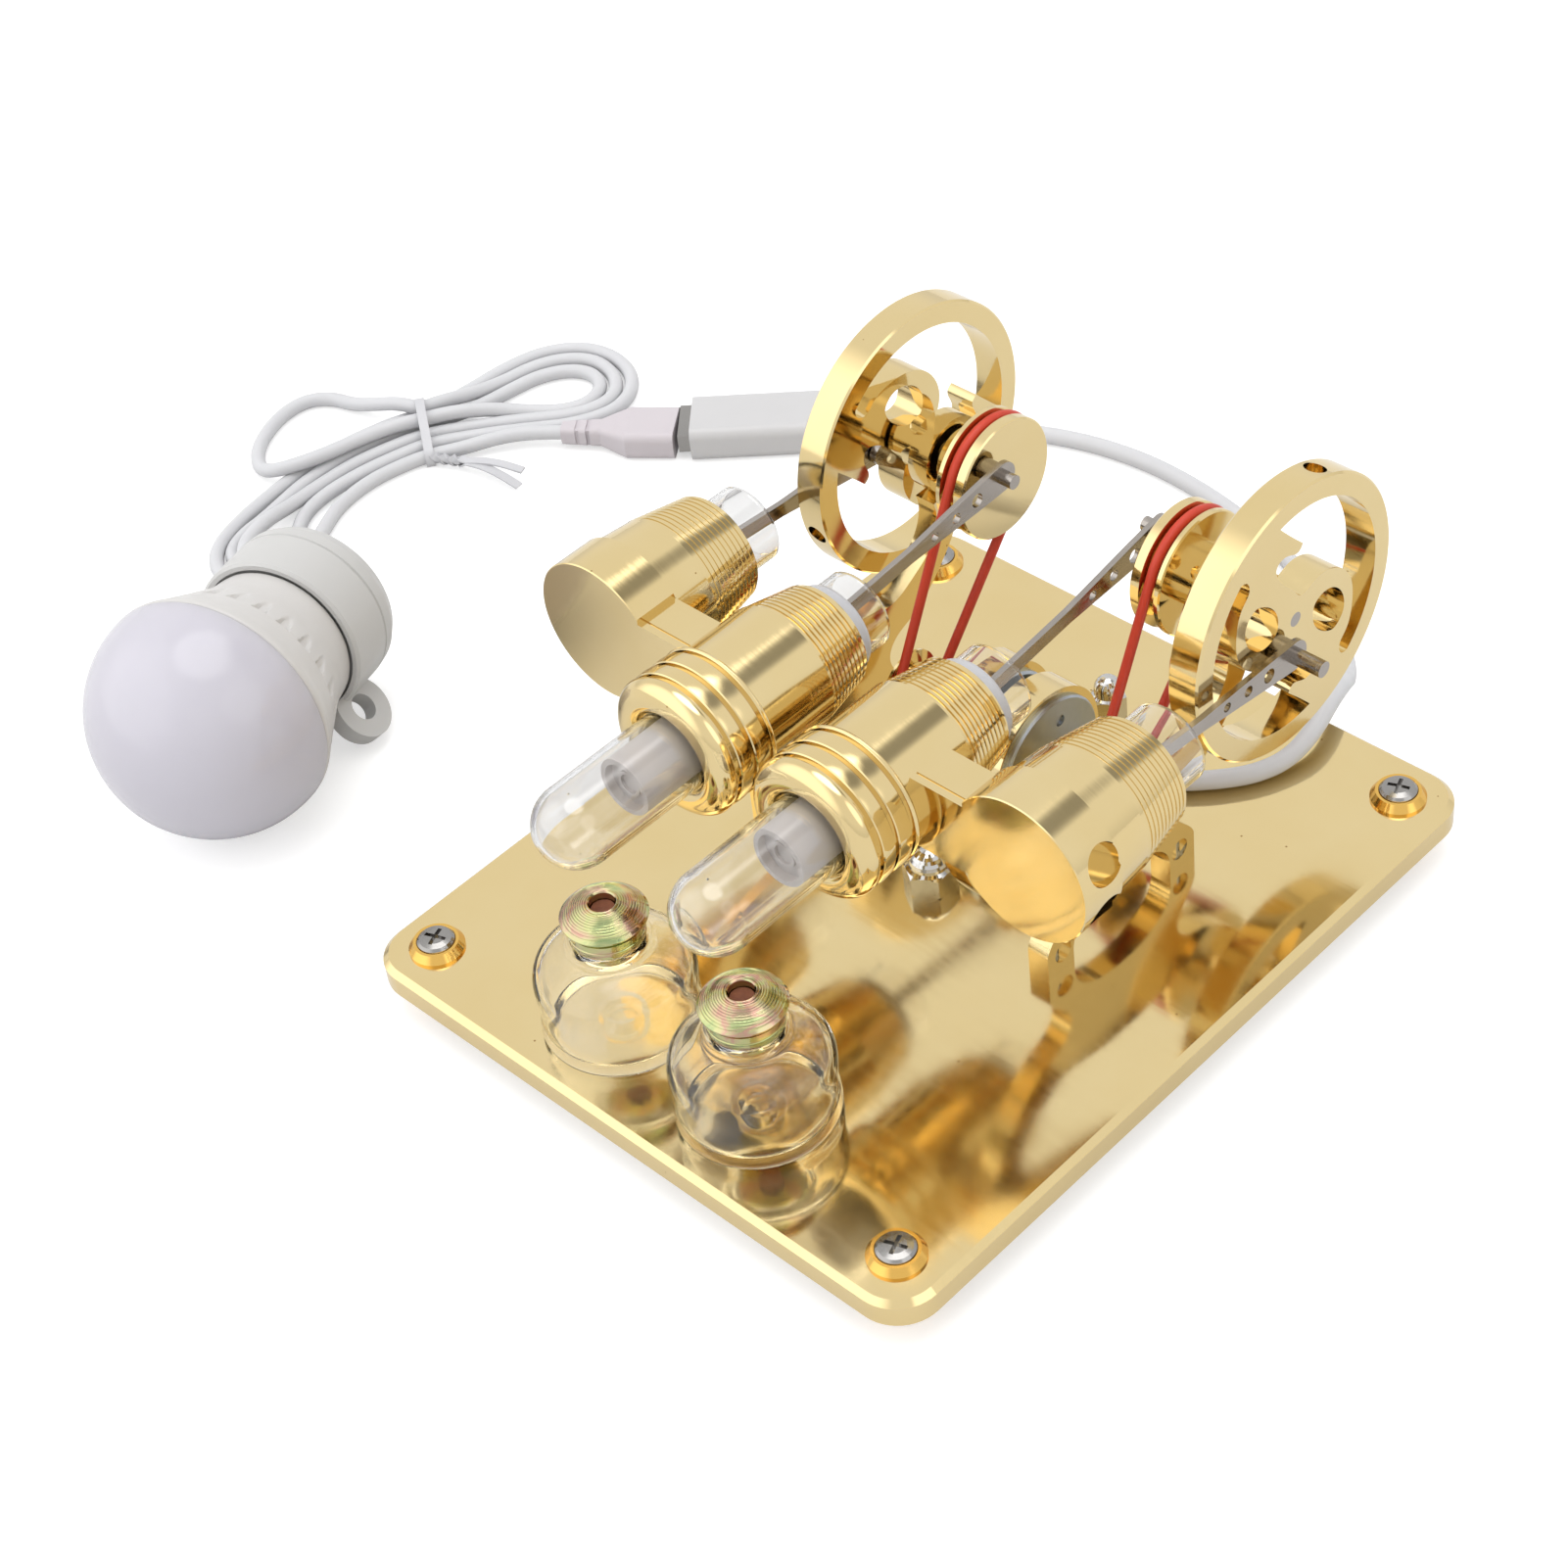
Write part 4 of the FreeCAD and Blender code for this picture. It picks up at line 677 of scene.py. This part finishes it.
def jar_profile():
    """Blown jar: a wavy wall, a round shoulder, a beaded neck, and a ring in its floor."""
    outside = eased([(0.3, 14.9), (1.4, 15.45), (4.2, 15.35), (8.0, 15.2), (12.0, 15.45),
                     (14.2, 15.3), (15.9, 14.6), (17.3, 13.2), (18.5, 11.3), (19.4, 9.6),
                     (20.1, 8.55), (20.8, 8.15), (21.3, 8.35), (21.8, 8.05), (22.4, 8.0),
                     (22.9, 7.75), (NECK, 7.2)])
    inside = eased([(22.8, 6.75), (21.4, 6.65), (20.3, 6.8), (19.2, 8.2), (18.0, 10.3),
                    (16.6, 12.3), (15.2, 13.5), (13.4, 14.15), (8.0, 14.0), (3.6, 14.1),
                    (2.0, 13.3), (1.55, 11.4), (1.4, 8.2), (1.5, 5.4), (1.75, 4.4), (1.9, 3.7),
                    (1.65, 3.0), (1.35, 2.2)])
    return [(0.1, 0.0), (0.1, 11.6), (0.1, 14.0)] + outside + inside + [(1.35, 0.0)]


def cap_profile():
    """Turned cap: a spigot in the neck, a waist, and a shallow ridged dome round the wick."""
    profile = [(-2.6, 2.35), (-2.6, 5.85), (-2.3, 6.2), (0.0, 6.25), (0.05, 7.0), (0.3, 7.25),
               (1.6, 7.25), (1.75, 7.05), (1.9, 7.25), (3.3, 7.25), (3.5, 6.6), (4.0, 6.5),
               (4.3, 6.6), (4.5, 7.8), (4.65, 8.15), (4.85, 8.3), (5.1, 8.3), (5.3, 8.15)]
    ridges = 11
    for i in range(ridges):
        for part, lift in ((0.0, 0.0), (0.35, 0.05), (0.7, 0.0), (0.85, -0.07)):
            s = (i + part) / ridges
            profile.append((5.4 + 2.6 * (1 - (1 - s) ** 1.9) + lift, 8.0 - 4.9 * s))
    profile += [(8.15, 3.0), (8.2, 2.85), (8.15, 2.7), (7.9, 2.5), (4.0, 2.35)]
    return [(NECK + t, r) for t, r in profile]


for side, x in (("left", -LAMP_X), ("right", LAMP_X)):
    stand = upright(x, LAMP_Y, PLATE_TOP)
    jar = lathe(f"blown_jar_{side}", jar_profile(), stand, MATERIALS["jar"], f"lamp_{side}",
                96, 60)
    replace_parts(jar, f"lamp_jar_{side}")
    cap = lathe(f"turned_cap_{side}", cap_profile(), stand, MATERIALS["chromate"],
                f"lamp_cap_{side}", 96, 25)
    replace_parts(cap, f"lamp_cap_{side}")


# ------------------------------------------------------------------ camera, floor and light
AZIMUTH, ELEVATION, ROLL = (math.radians(a) for a in (48.860, 42.617, -7.727))
back = Vector((math.sin(AZIMUTH) * math.cos(ELEVATION), -math.cos(AZIMUTH) * math.cos(ELEVATION),
               math.sin(ELEVATION)))
level_right = (-back).cross(Vector((0, 0, 1))).normalized()
level_up = level_right.cross(-back)
right = level_right * math.cos(ROLL) + level_up * math.sin(ROLL)
up = level_up * math.cos(ROLL) - level_right * math.sin(ROLL)
camera_data = bpy.data.cameras.new("camera")
camera_data.lens = 75.35
camera_data.sensor_width = 36.0
camera_data.clip_start = 0.01
camera_data.clip_end = 50.0
camera = bpy.data.objects.new("camera", camera_data)
SCENE.collection.objects.link(camera)
camera.matrix_world = (Matrix.Translation(mm(326.627, -316.838, 459.048))
                       @ Matrix((right, up, back)).transposed().to_4x4())
SCENE.camera = camera


def floor():
    """Pale floor that glows a little to the camera, so that it comes out white."""
    data = bpy.data.meshes.new("floor")
    size = 6.0
    data.from_pydata([(-size, -size, 0), (size, -size, 0), (size, size, 0), (-size, size, 0)], [],
                     [(0, 1, 2, 3)])
    m = Shader("floor").set(Roughness=0.9, Specular_IOR_Level=0.0, Emission_Color=(1.0, 1.0, 1.0))
    path = m.add("ShaderNodeLightPath")
    m.link(m.ramp(path.outputs["Is Camera Ray"], 0.0, 0.04, 1.0, 0.5),
           m.bsdf.inputs["Emission Strength"])
    m.colour(m.mixed(m.noise(3), (0.66, 0.66, 0.66), (0.63, 0.63, 0.63)))
    data.materials.append(m.material)
    obj = bpy.data.objects.new("floor", data)
    SCENE.collection.objects.link(obj)


floor()


# direction, cosines of the angles where it is full and where it ends, and brightness
SOFT_BOXES = [
    ((-0.50, -0.75, 0.43), 0.92, 0.60, 0.80),     # front left, wide
    ((0.0, 0.09, 1.0), 0.945, 0.89, 2.2),         # overhead
    ((0.81, 0.07, 0.57), 0.97, 0.92, 0.8),        # right
]
DARK_GAP = ((0.25, 0.50, 0.83), 0.998, 0.955, 0.62)
UPPER_SKY = ((0.0, 0.0, 1.0), 0.35, -0.3, 0.30)
SKY_LEVEL = 0.68


def sky():
    """White studio dome with soft boxes, and one dark gap that shows on the cylinders."""
    world = bpy.data.worlds.new("studio")
    SCENE.world = world
    world.use_nodes = True
    nodes, links = world.node_tree.nodes, world.node_tree.links
    place = nodes.new("ShaderNodeTexCoord").outputs["Generated"]

    def near(direction, full, ends, value):
        """value where the cosine to a direction is over full, fading to 0 where it is ends."""
        dot = nodes.new("ShaderNodeVectorMath")
        dot.operation = "DOT_PRODUCT"
        dot.inputs[1].default_value = Vector(direction).normalized()
        links.new(place, dot.inputs[0])
        ramp = nodes.new("ShaderNodeMapRange")
        ramp.interpolation_type = "SMOOTHSTEP"
        for key, number in (("From Min", ends), ("From Max", full), ("To Min", 0.0),
                            ("To Max", value)):
            ramp.inputs[key].default_value = number
        links.new(dot.outputs["Value"], ramp.inputs["Value"])
        return ramp.outputs["Result"]

    def joined(operation, a, b):
        node = nodes.new("ShaderNodeMath")
        node.operation = operation
        for socket, value in zip(node.inputs, (a, b)):
            if isinstance(value, float):
                socket.default_value = value
            else:
                links.new(value, socket)
        return node.outputs["Value"]

    light = joined("ADD", near(*UPPER_SKY), SKY_LEVEL)
    for soft_box in SOFT_BOXES:
        light = joined("ADD", light, near(*soft_box))
    light = joined("MULTIPLY", light, joined("SUBTRACT", 1.0, near(*DARK_GAP)))
    background = nodes["Background"]
    background.inputs["Color"].default_value = (1.0, 1.0, 1.0, 1.0)
    links.new(light, background.inputs["Strength"])


sky()

SCENE.view_settings.view_transform = "Standard"
